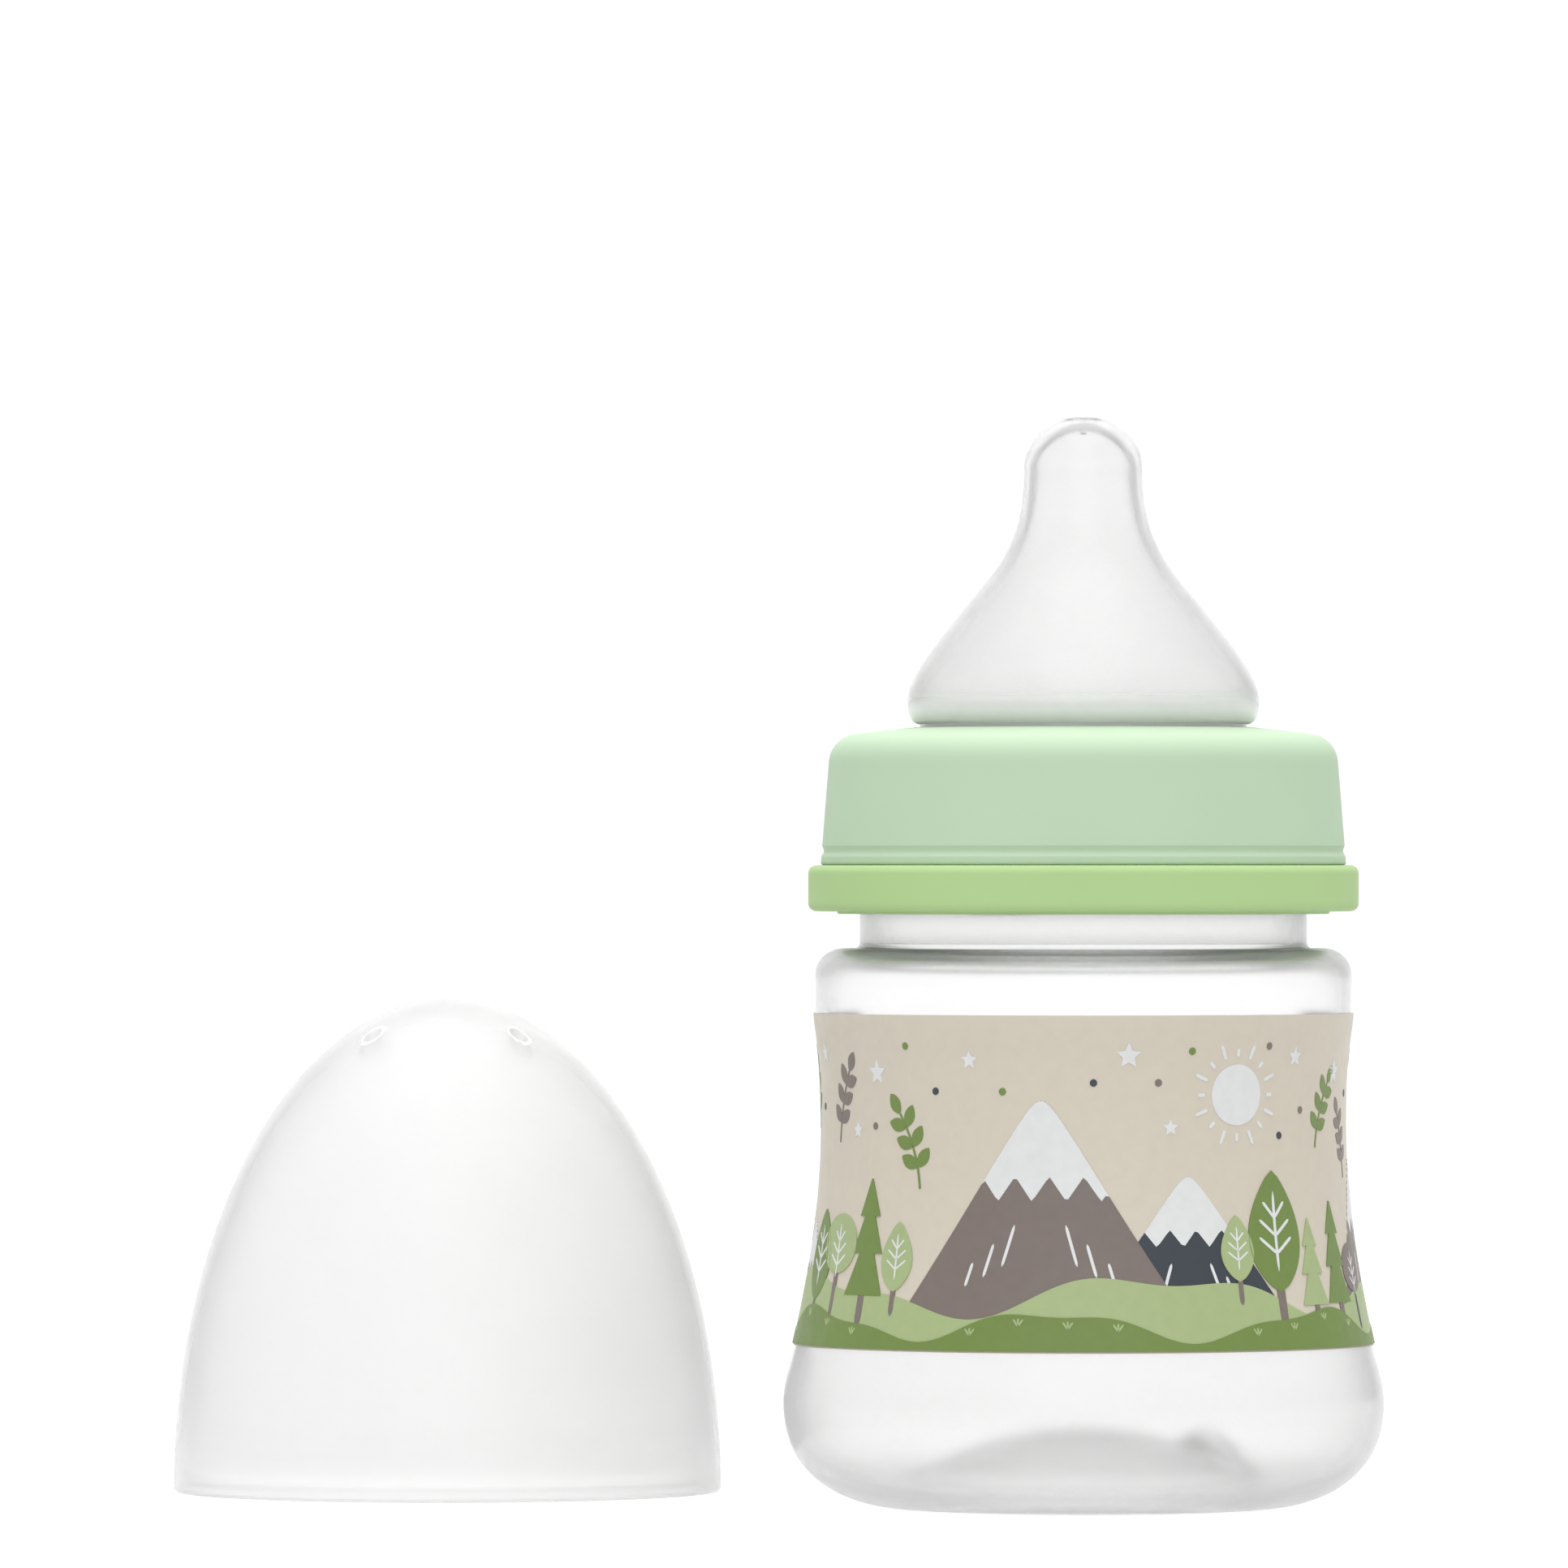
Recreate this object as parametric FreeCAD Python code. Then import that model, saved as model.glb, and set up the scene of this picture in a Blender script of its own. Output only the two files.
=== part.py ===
"""A wide-neck baby bottle: clear body, printed band, teat, two-colour screw collar and a dome cap.

Millimetres, +Z up. The origin is the middle of the ring that the bottle stands on, on its axis.
The cap is off and stands on its rim beside the bottle. Every piece is a solid of revolution, so
each profile is drawn as radius and height, and holes and pockets are cut afterwards.
"""

import FreeCAD
import Part

import math
import os

from FreeCAD import Vector

# Bottle body: steps in and out, and heights from one station of the outline to the next
FOOT_R = 21.0             # outer radius of the ring that the bottle stands on
FOOT_WIDTH = 2.2          # width of that ring
PUSH_UP = 7.0             # rise of the hollow under the base
BULGE_OUT = 3.6           # widest place, outside the shoulder
BULGE_HEIGHT = 11.8       # foot to widest place
HIP_IN = 1.05             # how far the hip lies inside the widest place
HIP_HEIGHT = 5.4          # widest place to hip
HIP_SLOPE = 0.24          # radius lost for each millimetre of height at the hip
WAIST_IN = 0.87           # narrowest place, inside the shoulder
WAIST_HEIGHT = 26.5       # hip to waist
SHOULDER_STEP = 5.1       # upright wall under the shoulder, outside the neck
CHEST_HEIGHT = 12.5       # waist to the foot of the upright wall
SHOULDER_HEIGHT = 7.0     # upright wall and shoulder rounding, up to the shelf round the neck
SHOULDER_ROUND = 3.2      # radius of the shoulder's corner
BODY_WALL = 1.3           # side wall
BASE_WALL = 1.7           # base

# How far the outline's tangents reach, as shares of the stretch that they shape
FOOT_PULL = 0.27
BULGE_PULL_BELOW = 0.85
BULGE_PULL_ABOVE = 0.35
HIP_PULL_BELOW = 0.30
HIP_PULL_ABOVE = 0.34
WAIST_PULL_BELOW = 0.34
WAIST_PULL_ABOVE = 0.70
CHEST_PULL = 0.20
TIP_PULL = 0.56
NIPPLE_PULL = 0.55
FLANK_PULL_ABOVE = 0.28
FLANK_PULL_BELOW = 0.44
SWELL_PULL = 0.28

# Pocket under the base that turns the bottle to its place when the band is printed
POCKET_R = 1.9            # hollow
POCKET_WALL = 1.3
POCKET_REACH = 15.2       # from the bottle's axis
POCKET_TOP = 6.6          # height of the hollow's round end

# Neck
NECK_R = 25.3
NECK_WALL = 1.9
NECK_SHOWN = 4.2          # bare neck between the shoulder and the collar's ring
NECK_ROOT_ROUND = 0.6
LIP_ROUND = 0.45
THREAD_DEPTH = 1.2        # room that the screw thread needs outside the neck
THREAD_GAP = 0.3          # thread to the collar's bore

# Printed band
BAND_BOTTOM = 18.4        # above the foot
BAND_HEIGHT = 37.5
BAND_FILM = 0.15
BAND_GAP = 0.05           # under the film
BAND_WINDOW = 120.0       # degrees left clear at the back, where the level of the milk is read

# Teat
FLANGE = 2.0              # clamped between neck and collar
GROOVE_IN = 6.8           # groove in which the collar's opening holds the teat, inside the neck
GROOVE_WALL = 1.9
SEAL_DEPTH = 2.0          # sealing skirt inside the neck
SEAL_WALL = 1.5
SEAL_GAP = 0.3            # skirt to the neck's inner wall
TEAT_GAP = 0.3            # teat to the collar's opening
SWELL_OUT = 1.4           # swell above the collar, outside the groove
SWELL_RISE = 2.65         # collar top to the middle of that swell
FLANK_RISE = 10.2         # swell to the middle of the sloping flank
FLANK_R = 13.9            # radius there
FLANK_SLOPE = 0.79        # radius lost for each millimetre of height there
NIPPLE_R = 6.7
NIPPLE_RISE = 16.3        # flank to where the nipple's tip starts to round
TIP_RISE = 5.9            # rounding of the tip
TIP_FLAT_R = 1.5          # flat in the middle of the tip
TEAT_WALL = 1.3
MILK_HOLE_R = 0.4
VENT_HOLE_R = 0.5         # air vent in the flange, inside the sealing skirt

# Collar and the ring on its foot
COLLAR_WALL = 1.8         # at the top of the skirt
COLLAR_FLARE = 1.15       # the skirt is wider at its foot
COLLAR_HEIGHT = 13.6      # ring to the underside of the collar's top
COLLAR_PLATE = 2.05       # top plate at its opening
COLLAR_CROWN = 1.1        # the top plate rises towards its opening
COLLAR_ROUND = 3.4        # outer corner of the top
COLLAR_INNER_ROUND = 1.2  # corner above the flange
OPENING_ROUND = 0.5
SPIGOT_WALL = 1.4         # the collar's foot, inside the ring
SPIGOT_HEIGHT = 4.0
RING_HEIGHT = 5.2
RING_LEDGE = 1.4          # step on which the cap stands
RING_ROUND = 0.9
RING_FIT = 0.1            # ring to spigot
RING_LIP_GAP = 0.15       # ring's lower lip to the thread's room
LIP_DROP = 0.3            # lower lip below the ring's flat
LIP_WIDTH = 1.2
SNAP_RISE = 1.6           # snap groove above the ring
SNAP_DEPTH = 0.3
SNAP_HEIGHT = 1.2

# Dome cap
CAP_HEIGHT = 57.2
CAP_WALL = 1.7
CAP_GAP = 0.3             # cap to the collar's foot, when fitted
CAP_RIM_CHAMFER = 0.4
CAP_VENTS = 4
CAP_VENT_R = 1.1
CAP_VENT_REACH = 11.9     # from the cap's axis
CAP_VENT_TURN = 45.0      # degrees from +X to the first vent
CAP_CLEAR = 17.4          # bottle to cap, where the cap stands
CAP_BEARING = 151.3       # degrees from +X, from the bottle to the cap

# Places worked out from the sizes above
bulge_z = BULGE_HEIGHT
hip_z = bulge_z + HIP_HEIGHT
waist_z = hip_z + WAIST_HEIGHT
chest_z = waist_z + CHEST_HEIGHT
shelf_z = chest_z + SHOULDER_HEIGHT
ring_bottom_z = shelf_z + NECK_SHOWN
ring_top_z = ring_bottom_z + RING_HEIGHT
plate_z = ring_top_z + COLLAR_HEIGHT
mouth_z = plate_z - FLANGE
opening_z = plate_z + COLLAR_PLATE
mouth_r = NECK_R - NECK_WALL
shoulder_r = NECK_R + SHOULDER_STEP
waist_r = shoulder_r - WAIST_IN
bulge_r = shoulder_r + BULGE_OUT
hip_r = bulge_r - HIP_IN
bore_r = NECK_R + THREAD_DEPTH + THREAD_GAP
spigot_r = bore_r + SPIGOT_WALL
skirt_top_r = bore_r + COLLAR_WALL
skirt_foot_r = skirt_top_r + COLLAR_FLARE
groove_r = NECK_R - GROOVE_IN
opening_r = groove_r + TEAT_GAP
seal_r = mouth_r - SEAL_GAP
cap_inner_r = skirt_foot_r + CAP_GAP
cap_r = cap_inner_r + CAP_WALL


def at(r, z):
    """The point of a profile at radius r and height z."""
    return Vector(r, 0, z)


def line(start, end):
    """A straight edge."""
    return Part.LineSegment(start, end).toShape()


def bezier(*poles):
    """A Bezier edge through the first and last pole."""
    curve = Part.BezierCurve()
    curve.setPoles(list(poles))
    return curve.toShape()


def arc_about(centre, radius, start, end):
    """An arc from start to end, the short way round a centre."""
    middle = (start - centre) + (end - centre)
    middle.normalize()
    return Part.Arc(start, centre + middle * radius, end).toShape()


def rounded(corners):
    """Edges through (radius, height, rounding) corners, with a tangent arc at each rounded corner."""
    points = [at(r, z) for r, z, _ in corners]
    edges = []
    reached = points[0]
    for index in range(1, len(corners) - 1):
        corner = points[index]
        rounding = corners[index][2]
        if rounding > 0:
            back = (points[index - 1] - corner).normalize()
            ahead = (points[index + 1] - corner).normalize()
            half = back.getAngle(ahead) / 2
            cut = rounding / math.tan(half)
            bisector = (back + ahead).normalize()
            centre = corner + bisector * (rounding / math.sin(half))
            edges.append(line(reached, corner + back * cut))
            edges.append(arc_about(centre, rounding, corner + back * cut, corner + ahead * cut))
            reached = corner + ahead * cut
        else:
            edges.append(line(reached, corner))
            reached = corner
    edges.append(line(reached, points[-1]))
    return edges


def closed(corners):
    """The closed rounded outline; its first corner stays sharp."""
    return rounded(corners + [corners[0]])


def revolve(edges, degrees=360.0, start=0.0):
    """The solid that a closed profile sweeps about the Z axis."""
    face = Part.Face(Part.Wire(Part.sortEdges(edges)[0]))
    face.rotate(Vector(0, 0, 0), Vector(0, 0, 1), start)
    return face.revolve(Vector(0, 0, 0), Vector(0, 0, 1), degrees)


def upright(radius, bottom, top, x=0.0, y=0.0):
    """An upright cylinder."""
    return Part.makeCylinder(radius, top - bottom, Vector(x, y, bottom))


def side_curves(inset):
    """The body's side from the widest place to the shoulder, moved inwards by inset."""
    below = HIP_PULL_BELOW * HIP_HEIGHT
    above = HIP_PULL_ABOVE * WAIST_HEIGHT
    hip = bezier(
        at(bulge_r - inset, bulge_z),
        at(bulge_r - inset, bulge_z + BULGE_PULL_ABOVE * HIP_HEIGHT),
        at(hip_r - inset + HIP_SLOPE * below, hip_z - below),
        at(hip_r - inset, hip_z),
    )
    waist = bezier(
        at(hip_r - inset, hip_z),
        at(hip_r - inset - HIP_SLOPE * above, hip_z + above),
        at(waist_r - inset, waist_z - WAIST_PULL_BELOW * WAIST_HEIGHT),
        at(waist_r - inset, waist_z),
    )
    chest = bezier(
        at(waist_r - inset, waist_z),
        at(waist_r - inset, waist_z + WAIST_PULL_ABOVE * CHEST_HEIGHT),
        at(shoulder_r - inset, chest_z - CHEST_PULL * CHEST_HEIGHT),
        at(shoulder_r - inset, chest_z),
    )
    wall_top = shelf_z - SHOULDER_ROUND
    wall = line(at(shoulder_r - inset, chest_z), at(shoulder_r - inset, wall_top))
    return [hip, waist, chest, wall]


def shoulder_curve(inset):
    """The round corner from the upright wall to the shelf, moved inwards by inset."""
    centre = at(shoulder_r - SHOULDER_ROUND, shelf_z - SHOULDER_ROUND)
    rounding = SHOULDER_ROUND - inset
    return arc_about(centre, rounding, centre + at(rounding, 0), centre + at(0, rounding))


def base_curve(start, end):
    """The round corner between the base and the widest place."""
    reach = end.x - start.x
    rise = end.z - start.z
    return bezier(
        start,
        at(start.x + FOOT_PULL * reach, start.z),
        at(end.x, end.z - BULGE_PULL_BELOW * rise),
        end,
    )


def body_outside():
    """The outline from the foot's inner edge up to the lip of the neck."""
    foot_in = at(FOOT_R - FOOT_WIDTH, 0)
    foot_out = at(FOOT_R, 0)
    edges = [line(foot_in, foot_out), base_curve(foot_out, at(bulge_r, bulge_z))]
    edges += side_curves(0)
    edges.append(shoulder_curve(0))
    return edges + rounded([
        (shoulder_r - SHOULDER_ROUND, shelf_z, 0),
        (NECK_R, shelf_z, NECK_ROOT_ROUND),
        (NECK_R, mouth_z, LIP_ROUND),
        (mouth_r, mouth_z, LIP_ROUND),
        (mouth_r, shelf_z, 0),
    ])


def body_inside():
    """The outline of the hollow from the neck down to the middle of the floor, and back to the foot."""
    under_shelf = shelf_z - BODY_WALL
    valley = at(FOOT_R, BASE_WALL)
    edges = rounded([
        (mouth_r, shelf_z, 0),
        (mouth_r, under_shelf, BODY_WALL / 2),
        (shoulder_r - SHOULDER_ROUND, under_shelf, 0),
    ])
    edges.append(shoulder_curve(BODY_WALL))
    edges += side_curves(BODY_WALL)
    edges.append(base_curve(valley, at(bulge_r - BODY_WALL, bulge_z)))
    return edges + floor_curves(valley)


def floor_curves(valley):
    """The domed floor: inner dome, the valley that runs into it, and the hollow underneath."""
    foot_in = FOOT_R - FOOT_WIDTH
    under_r = (foot_in**2 + PUSH_UP**2) / (2 * PUSH_UP)
    centre = at(0, PUSH_UP - under_r)
    inner_r = under_r + BASE_WALL
    drop = valley.z - centre.z
    valley_r = (valley.x**2 + drop**2 - inner_r**2) / (2 * (inner_r - drop))
    valley_centre = at(valley.x, valley.z + valley_r)
    towards = (valley_centre - centre).normalize()
    meeting = centre + towards * inner_r
    top = at(0, centre.z + inner_r)
    hollow_top = at(0, PUSH_UP)
    return [
        arc_about(valley_centre, valley_r, valley, meeting),
        arc_about(centre, inner_r, meeting, top),
        line(top, hollow_top),
        arc_about(centre, under_r, hollow_top, at(foot_in, 0)),
    ]


def bottle_body():
    """The clear bottle, with the turning pocket under its base."""
    body = revolve(body_outside() + body_inside())
    dome = Part.makeSphere(POCKET_R + POCKET_WALL, Vector(POCKET_REACH, 0, POCKET_TOP - POCKET_R))
    boss = dome.fuse(upright(POCKET_R + POCKET_WALL, BASE_WALL, POCKET_TOP - POCKET_R, POCKET_REACH))
    hollow = Part.makeSphere(POCKET_R, Vector(POCKET_REACH, 0, POCKET_TOP - POCKET_R))
    hollow = hollow.fuse(upright(POCKET_R, -BASE_WALL, POCKET_TOP - POCKET_R, POCKET_REACH))
    return body.fuse(boss).cut(hollow).removeSplitter()


def printed_band():
    """The printed film on the body's side, open at the back."""
    inner = side_curves(-BAND_GAP)
    outer = side_curves(-BAND_GAP - BAND_FILM)
    edges = inner + outer
    edges.append(line(inner[0].Vertexes[0].Point, outer[0].Vertexes[0].Point))
    edges.append(line(inner[-1].Vertexes[-1].Point, outer[-1].Vertexes[-1].Point))
    sleeve = revolve(edges, 360.0 - BAND_WINDOW, 90.0 + BAND_WINDOW / 2)
    reach = 2 * bulge_r
    span = Part.makeBox(2 * reach, 2 * reach, BAND_HEIGHT, Vector(-reach, -reach, BAND_BOTTOM))
    return sleeve.common(span)


def teat_outside():
    """The teat's outline from its tip down to the groove."""
    swell_r = groove_r + SWELL_OUT
    groove_top_z = opening_z + TEAT_GAP
    swell_z = opening_z + SWELL_RISE
    flank_z = swell_z + FLANK_RISE
    flank_reach = FLANK_PULL_BELOW * FLANK_RISE
    nipple_reach = FLANK_PULL_ABOVE * NIPPLE_RISE
    tip_foot_z = flank_z + NIPPLE_RISE
    tip_z = tip_foot_z + TIP_RISE
    return [
        line(at(MILK_HOLE_R, tip_z), at(TIP_FLAT_R, tip_z)),
        bezier(
            at(TIP_FLAT_R, tip_z),
            at(TIP_FLAT_R + TIP_PULL * (NIPPLE_R - TIP_FLAT_R), tip_z),
            at(NIPPLE_R, tip_foot_z + TIP_PULL * TIP_RISE),
            at(NIPPLE_R, tip_foot_z),
        ),
        bezier(
            at(NIPPLE_R, tip_foot_z),
            at(NIPPLE_R, tip_foot_z - NIPPLE_PULL * NIPPLE_RISE),
            at(FLANK_R - FLANK_SLOPE * nipple_reach, flank_z + nipple_reach),
            at(FLANK_R, flank_z),
        ),
        bezier(
            at(FLANK_R, flank_z),
            at(FLANK_R + FLANK_SLOPE * flank_reach, flank_z - flank_reach),
            at(swell_r, swell_z + SWELL_PULL * FLANK_RISE),
            at(swell_r, swell_z),
        ),
        bezier(
            at(swell_r, swell_z),
            at(swell_r, groove_top_z + SWELL_PULL * (swell_z - groove_top_z)),
            at(groove_r + SWELL_OUT / 2, groove_top_z),
            at(groove_r, groove_top_z),
        ),
        line(at(groove_r, groove_top_z), at(groove_r, plate_z)),
    ]


def teat_inside():
    """The teat's hollow, from the groove's wall up to the milk hole."""
    hollow_r = groove_r - GROOVE_WALL
    swell_r = groove_r + SWELL_OUT - TEAT_WALL
    swell_z = opening_z + SWELL_RISE
    step_foot_z = opening_z + TEAT_GAP
    step_z = (step_foot_z + swell_z) / 2
    flank_z = swell_z + FLANK_RISE
    slant = math.hypot(1, FLANK_SLOPE)
    flank_in = at(FLANK_R - TEAT_WALL / slant, flank_z - TEAT_WALL * FLANK_SLOPE / slant)
    flank_reach = FLANK_PULL_BELOW * (flank_in.z - swell_z)
    nipple_reach = FLANK_PULL_ABOVE * NIPPLE_RISE
    nipple_r = NIPPLE_R - TEAT_WALL
    tip_foot_z = flank_z + NIPPLE_RISE
    tip_rise = TIP_RISE - TEAT_WALL
    tip_z = tip_foot_z + tip_rise
    return [
        line(at(hollow_r, plate_z), at(hollow_r, step_foot_z)),
        bezier(
            at(hollow_r, step_foot_z),
            at(hollow_r, step_z),
            at(swell_r, step_z),
            at(swell_r, swell_z),
        ),
        bezier(
            at(swell_r, swell_z),
            at(swell_r, swell_z + SWELL_PULL * (flank_in.z - swell_z)),
            at(flank_in.x + FLANK_SLOPE * flank_reach, flank_in.z - flank_reach),
            flank_in,
        ),
        bezier(
            flank_in,
            at(flank_in.x - FLANK_SLOPE * nipple_reach, flank_in.z + nipple_reach),
            at(nipple_r, tip_foot_z - NIPPLE_PULL * NIPPLE_RISE),
            at(nipple_r, tip_foot_z),
        ),
        bezier(
            at(nipple_r, tip_foot_z),
            at(nipple_r, tip_foot_z + TIP_PULL * tip_rise),
            at(TIP_FLAT_R + TIP_PULL * (nipple_r - TIP_FLAT_R), tip_z),
            at(TIP_FLAT_R, tip_z),
        ),
        line(at(TIP_FLAT_R, tip_z), at(MILK_HOLE_R, tip_z)),
        line(at(MILK_HOLE_R, tip_z), at(MILK_HOLE_R, tip_z + TEAT_WALL)),
    ]


def teat():
    """The silicone teat, with the flange that seals the neck and the vent in it."""
    hollow_r = groove_r - GROOVE_WALL
    seal_in_r = seal_r - SEAL_WALL
    vent_reach = (groove_r + seal_in_r) / 2
    flange = rounded([
        (groove_r, plate_z, 0),
        (NECK_R, plate_z, LIP_ROUND),
        (NECK_R, mouth_z, LIP_ROUND),
        (seal_r, mouth_z, 0),
        (seal_r, mouth_z - SEAL_DEPTH, SEAL_WALL / 3),
        (seal_in_r, mouth_z - SEAL_DEPTH, SEAL_WALL / 3),
        (seal_in_r, mouth_z, 0),
        (hollow_r, mouth_z, LIP_ROUND),
        (hollow_r, plate_z, 0),
    ])
    solid = revolve(teat_outside() + flange + teat_inside())
    return solid.cut(upright(VENT_HOLE_R, mouth_z - FLANGE, plate_z + FLANGE, 0, vent_reach))


def screw_collar():
    """The collar: a flared skirt with a crowned, open top, a snap groove and a spigot for the ring."""
    groove_z = ring_top_z + SNAP_RISE
    edge_z = opening_z - COLLAR_CROWN

    def skirt(z):
        return skirt_foot_r - COLLAR_FLARE * (z - ring_top_z) / (edge_z - ring_top_z)

    spigot_z = ring_top_z - SPIGOT_HEIGHT
    return revolve(closed([
        (bore_r, plate_z - COLLAR_HEIGHT / 2, 0),
        (bore_r, spigot_z, 0),
        (spigot_r, spigot_z, 0),
        (spigot_r, ring_top_z, 0),
        (skirt_foot_r, ring_top_z, SNAP_DEPTH),
        (skirt(groove_z - SNAP_HEIGHT / 2), groove_z - SNAP_HEIGHT / 2, 0),
        (skirt(groove_z) - SNAP_DEPTH, groove_z, SNAP_HEIGHT / 2),
        (skirt(groove_z + SNAP_HEIGHT / 2), groove_z + SNAP_HEIGHT / 2, 0),
        (skirt_top_r, edge_z, COLLAR_ROUND),
        (opening_r, opening_z, OPENING_ROUND),
        (opening_r, plate_z, 0),
        (bore_r, plate_z, COLLAR_INNER_ROUND),
    ]))


def collar_base_ring():
    """The ring on the collar's foot, with the step for the cap and a lip that closes on the thread."""
    outer_r = skirt_foot_r + RING_LEDGE
    bore = spigot_r + RING_FIT
    lip_r = NECK_R + THREAD_DEPTH + RING_LIP_GAP
    seat_z = ring_top_z - SPIGOT_HEIGHT - RING_FIT
    return revolve(closed([
        (bore, ring_top_z - SPIGOT_HEIGHT / 2, 0),
        (bore, seat_z, 0),
        (lip_r, seat_z, 0),
        (lip_r, ring_bottom_z - LIP_DROP, 0),
        (lip_r + LIP_WIDTH, ring_bottom_z - LIP_DROP, 0),
        (lip_r + LIP_WIDTH, ring_bottom_z, 0),
        (outer_r, ring_bottom_z, RING_ROUND),
        (outer_r, ring_top_z, RING_ROUND),
        (bore, ring_top_z, 0),
    ]))


def quarter_ellipse(radius, height, from_z):
    """The dome's profile: an ellipse about the axis, from the top down to a height."""
    ellipse = Part.Ellipse(at(0, height), at(radius, 0), at(0, 0))
    return Part.ArcOfEllipse(ellipse, 0, math.acos(from_z / height)).toShape()


def on_ellipse(radius, height, z):
    """The point of the dome's profile at a height."""
    return at(radius * math.sqrt(1 - (z / height) ** 2), z)


def dome_cap():
    """The half-egg cap with its snap bead inside and vents near the top, moved to where it stands."""
    inner_top = CAP_HEIGHT - CAP_WALL
    bead_top = SNAP_RISE + SNAP_HEIGHT / 2
    bead_bottom = SNAP_RISE - SNAP_HEIGHT / 2
    outer_foot = on_ellipse(cap_r, CAP_HEIGHT, CAP_RIM_CHAMFER)
    inner_foot = on_ellipse(cap_inner_r, inner_top, bead_top)
    edges = [
        quarter_ellipse(cap_r, CAP_HEIGHT, CAP_RIM_CHAMFER),
        quarter_ellipse(cap_inner_r, inner_top, bead_top),
        line(at(0, CAP_HEIGHT), at(0, inner_top)),
    ]
    edges += rounded([
        (outer_foot.x, outer_foot.z, 0),
        (outer_foot.x - CAP_RIM_CHAMFER, 0, 0),
        (cap_inner_r, 0, 0),
        (cap_inner_r, bead_bottom, 0),
        (cap_inner_r - SNAP_DEPTH, SNAP_RISE, SNAP_HEIGHT / 3),
        (inner_foot.x, inner_foot.z, 0),
    ])
    cap = revolve(edges)
    for index in range(CAP_VENTS):
        angle = math.radians(CAP_VENT_TURN + index * 360 / CAP_VENTS)
        x = CAP_VENT_REACH * math.cos(angle)
        y = CAP_VENT_REACH * math.sin(angle)
        cap = cap.cut(upright(CAP_VENT_R, CAP_HEIGHT / 2, CAP_HEIGHT, x, y))
    reach = bulge_r + CAP_CLEAR + cap_r
    bearing = math.radians(CAP_BEARING)
    cap.translate(Vector(reach * math.cos(bearing), reach * math.sin(bearing), 0))
    return cap


PIECES = (bottle_body, printed_band, teat, screw_collar, collar_base_ring, dome_cap)

os.makedirs("parts", exist_ok=True)
for piece in PIECES:
    shape = piece()
    shape.exportStep(f"parts/{piece.__name__}.step")
    volume = shape.Volume / 1000
    print(f"{piece.__name__}: {len(shape.Solids)} solid, {volume:.2f} ml, valid {shape.isValid()}")
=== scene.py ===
"""Looks of a wide-neck baby bottle: clear body, printed band, teat, two-colour collar and dome cap.

Sizes are in millimetres here and in metres in the meshes. +Z is up, the bottle stands on its axis at
the origin, and its front faces -Y. Every piece is a numpy grid: a profile of radius and height turned
about an axis, or a patch of print laid on the body.
"""

import logging
import math
from collections.abc import Callable, Sequence
from dataclasses import dataclass, field
from enum import Enum

import bpy
import numpy as np
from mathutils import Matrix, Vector


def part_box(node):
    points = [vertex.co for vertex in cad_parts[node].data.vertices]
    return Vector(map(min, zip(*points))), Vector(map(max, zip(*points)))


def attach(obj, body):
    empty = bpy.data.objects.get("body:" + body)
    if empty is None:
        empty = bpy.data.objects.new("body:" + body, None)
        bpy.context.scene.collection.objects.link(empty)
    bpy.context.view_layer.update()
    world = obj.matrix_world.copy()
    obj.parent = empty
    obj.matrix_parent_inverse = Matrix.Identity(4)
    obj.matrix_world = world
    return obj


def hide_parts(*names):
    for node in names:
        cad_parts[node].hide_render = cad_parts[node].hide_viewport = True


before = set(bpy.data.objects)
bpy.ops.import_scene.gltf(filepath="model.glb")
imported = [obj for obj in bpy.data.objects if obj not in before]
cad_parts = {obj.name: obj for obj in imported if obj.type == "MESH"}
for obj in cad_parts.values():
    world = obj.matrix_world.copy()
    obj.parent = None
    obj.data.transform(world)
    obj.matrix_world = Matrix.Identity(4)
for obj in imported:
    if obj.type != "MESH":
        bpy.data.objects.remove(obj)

MM = 0.001
CUBIC_MM_PER_ML = 1000
SHARP_EDGE = math.radians(38)
SAME_POINT = 1e-5
NOISE_RANGE = (0.3, 0.7)
WHITE_LIGHT = (1.0, 1.0, 1.0, 1.0)
Array = np.ndarray
Corner = tuple[float, float, float]
Colour = tuple[float, float, float]
Socket = bpy.types.NodeSocket

log = logging.getLogger("baby_bottle")


def line(start: Sequence[float], end: Sequence[float], count: int = 2) -> Array:
    """Points spaced evenly on a straight stretch.

    Args:
        start: first (radius, height).
        end: last (radius, height).
        count: how many points.

    Returns:
        The points, count x 2.
    """
    return np.linspace(start, end, count)


def bezier(poles: Sequence[Sequence[float]], count: int = 24) -> Array:
    """Points of a cubic Bezier: the sum of the poles weighted 1-3-3-1 by powers of t and 1 - t.

    Args:
        poles: four (radius, height) poles.
        count: how many points, at even t from 0 to 1.

    Returns:
        The points, count x 2.
    """
    t = np.linspace(0, 1, count)[:, None]
    a, b, c, d = (np.asarray(p, float) for p in poles)
    return (1 - t) ** 3 * a + 3 * t * (1 - t) ** 2 * b + 3 * t**2 * (1 - t) * c + t**3 * d


def arc(centre: Sequence[float], radius: float, first: float, last: float, count: int = 10) -> Array:
    """Points of a circle's arc: the centre plus the radius times cosine and sine of even angles.

    Args:
        centre: (radius, height) of the arc's centre.
        radius: radius of the arc.
        first: angle of the first point, in degrees.
        last: angle of the last point, in degrees.
        count: how many points.

    Returns:
        The points, count x 2.
    """
    a = np.radians(np.linspace(first, last, count))
    return np.asarray(centre) + radius * np.stack([np.cos(a), np.sin(a)], 1)


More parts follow.
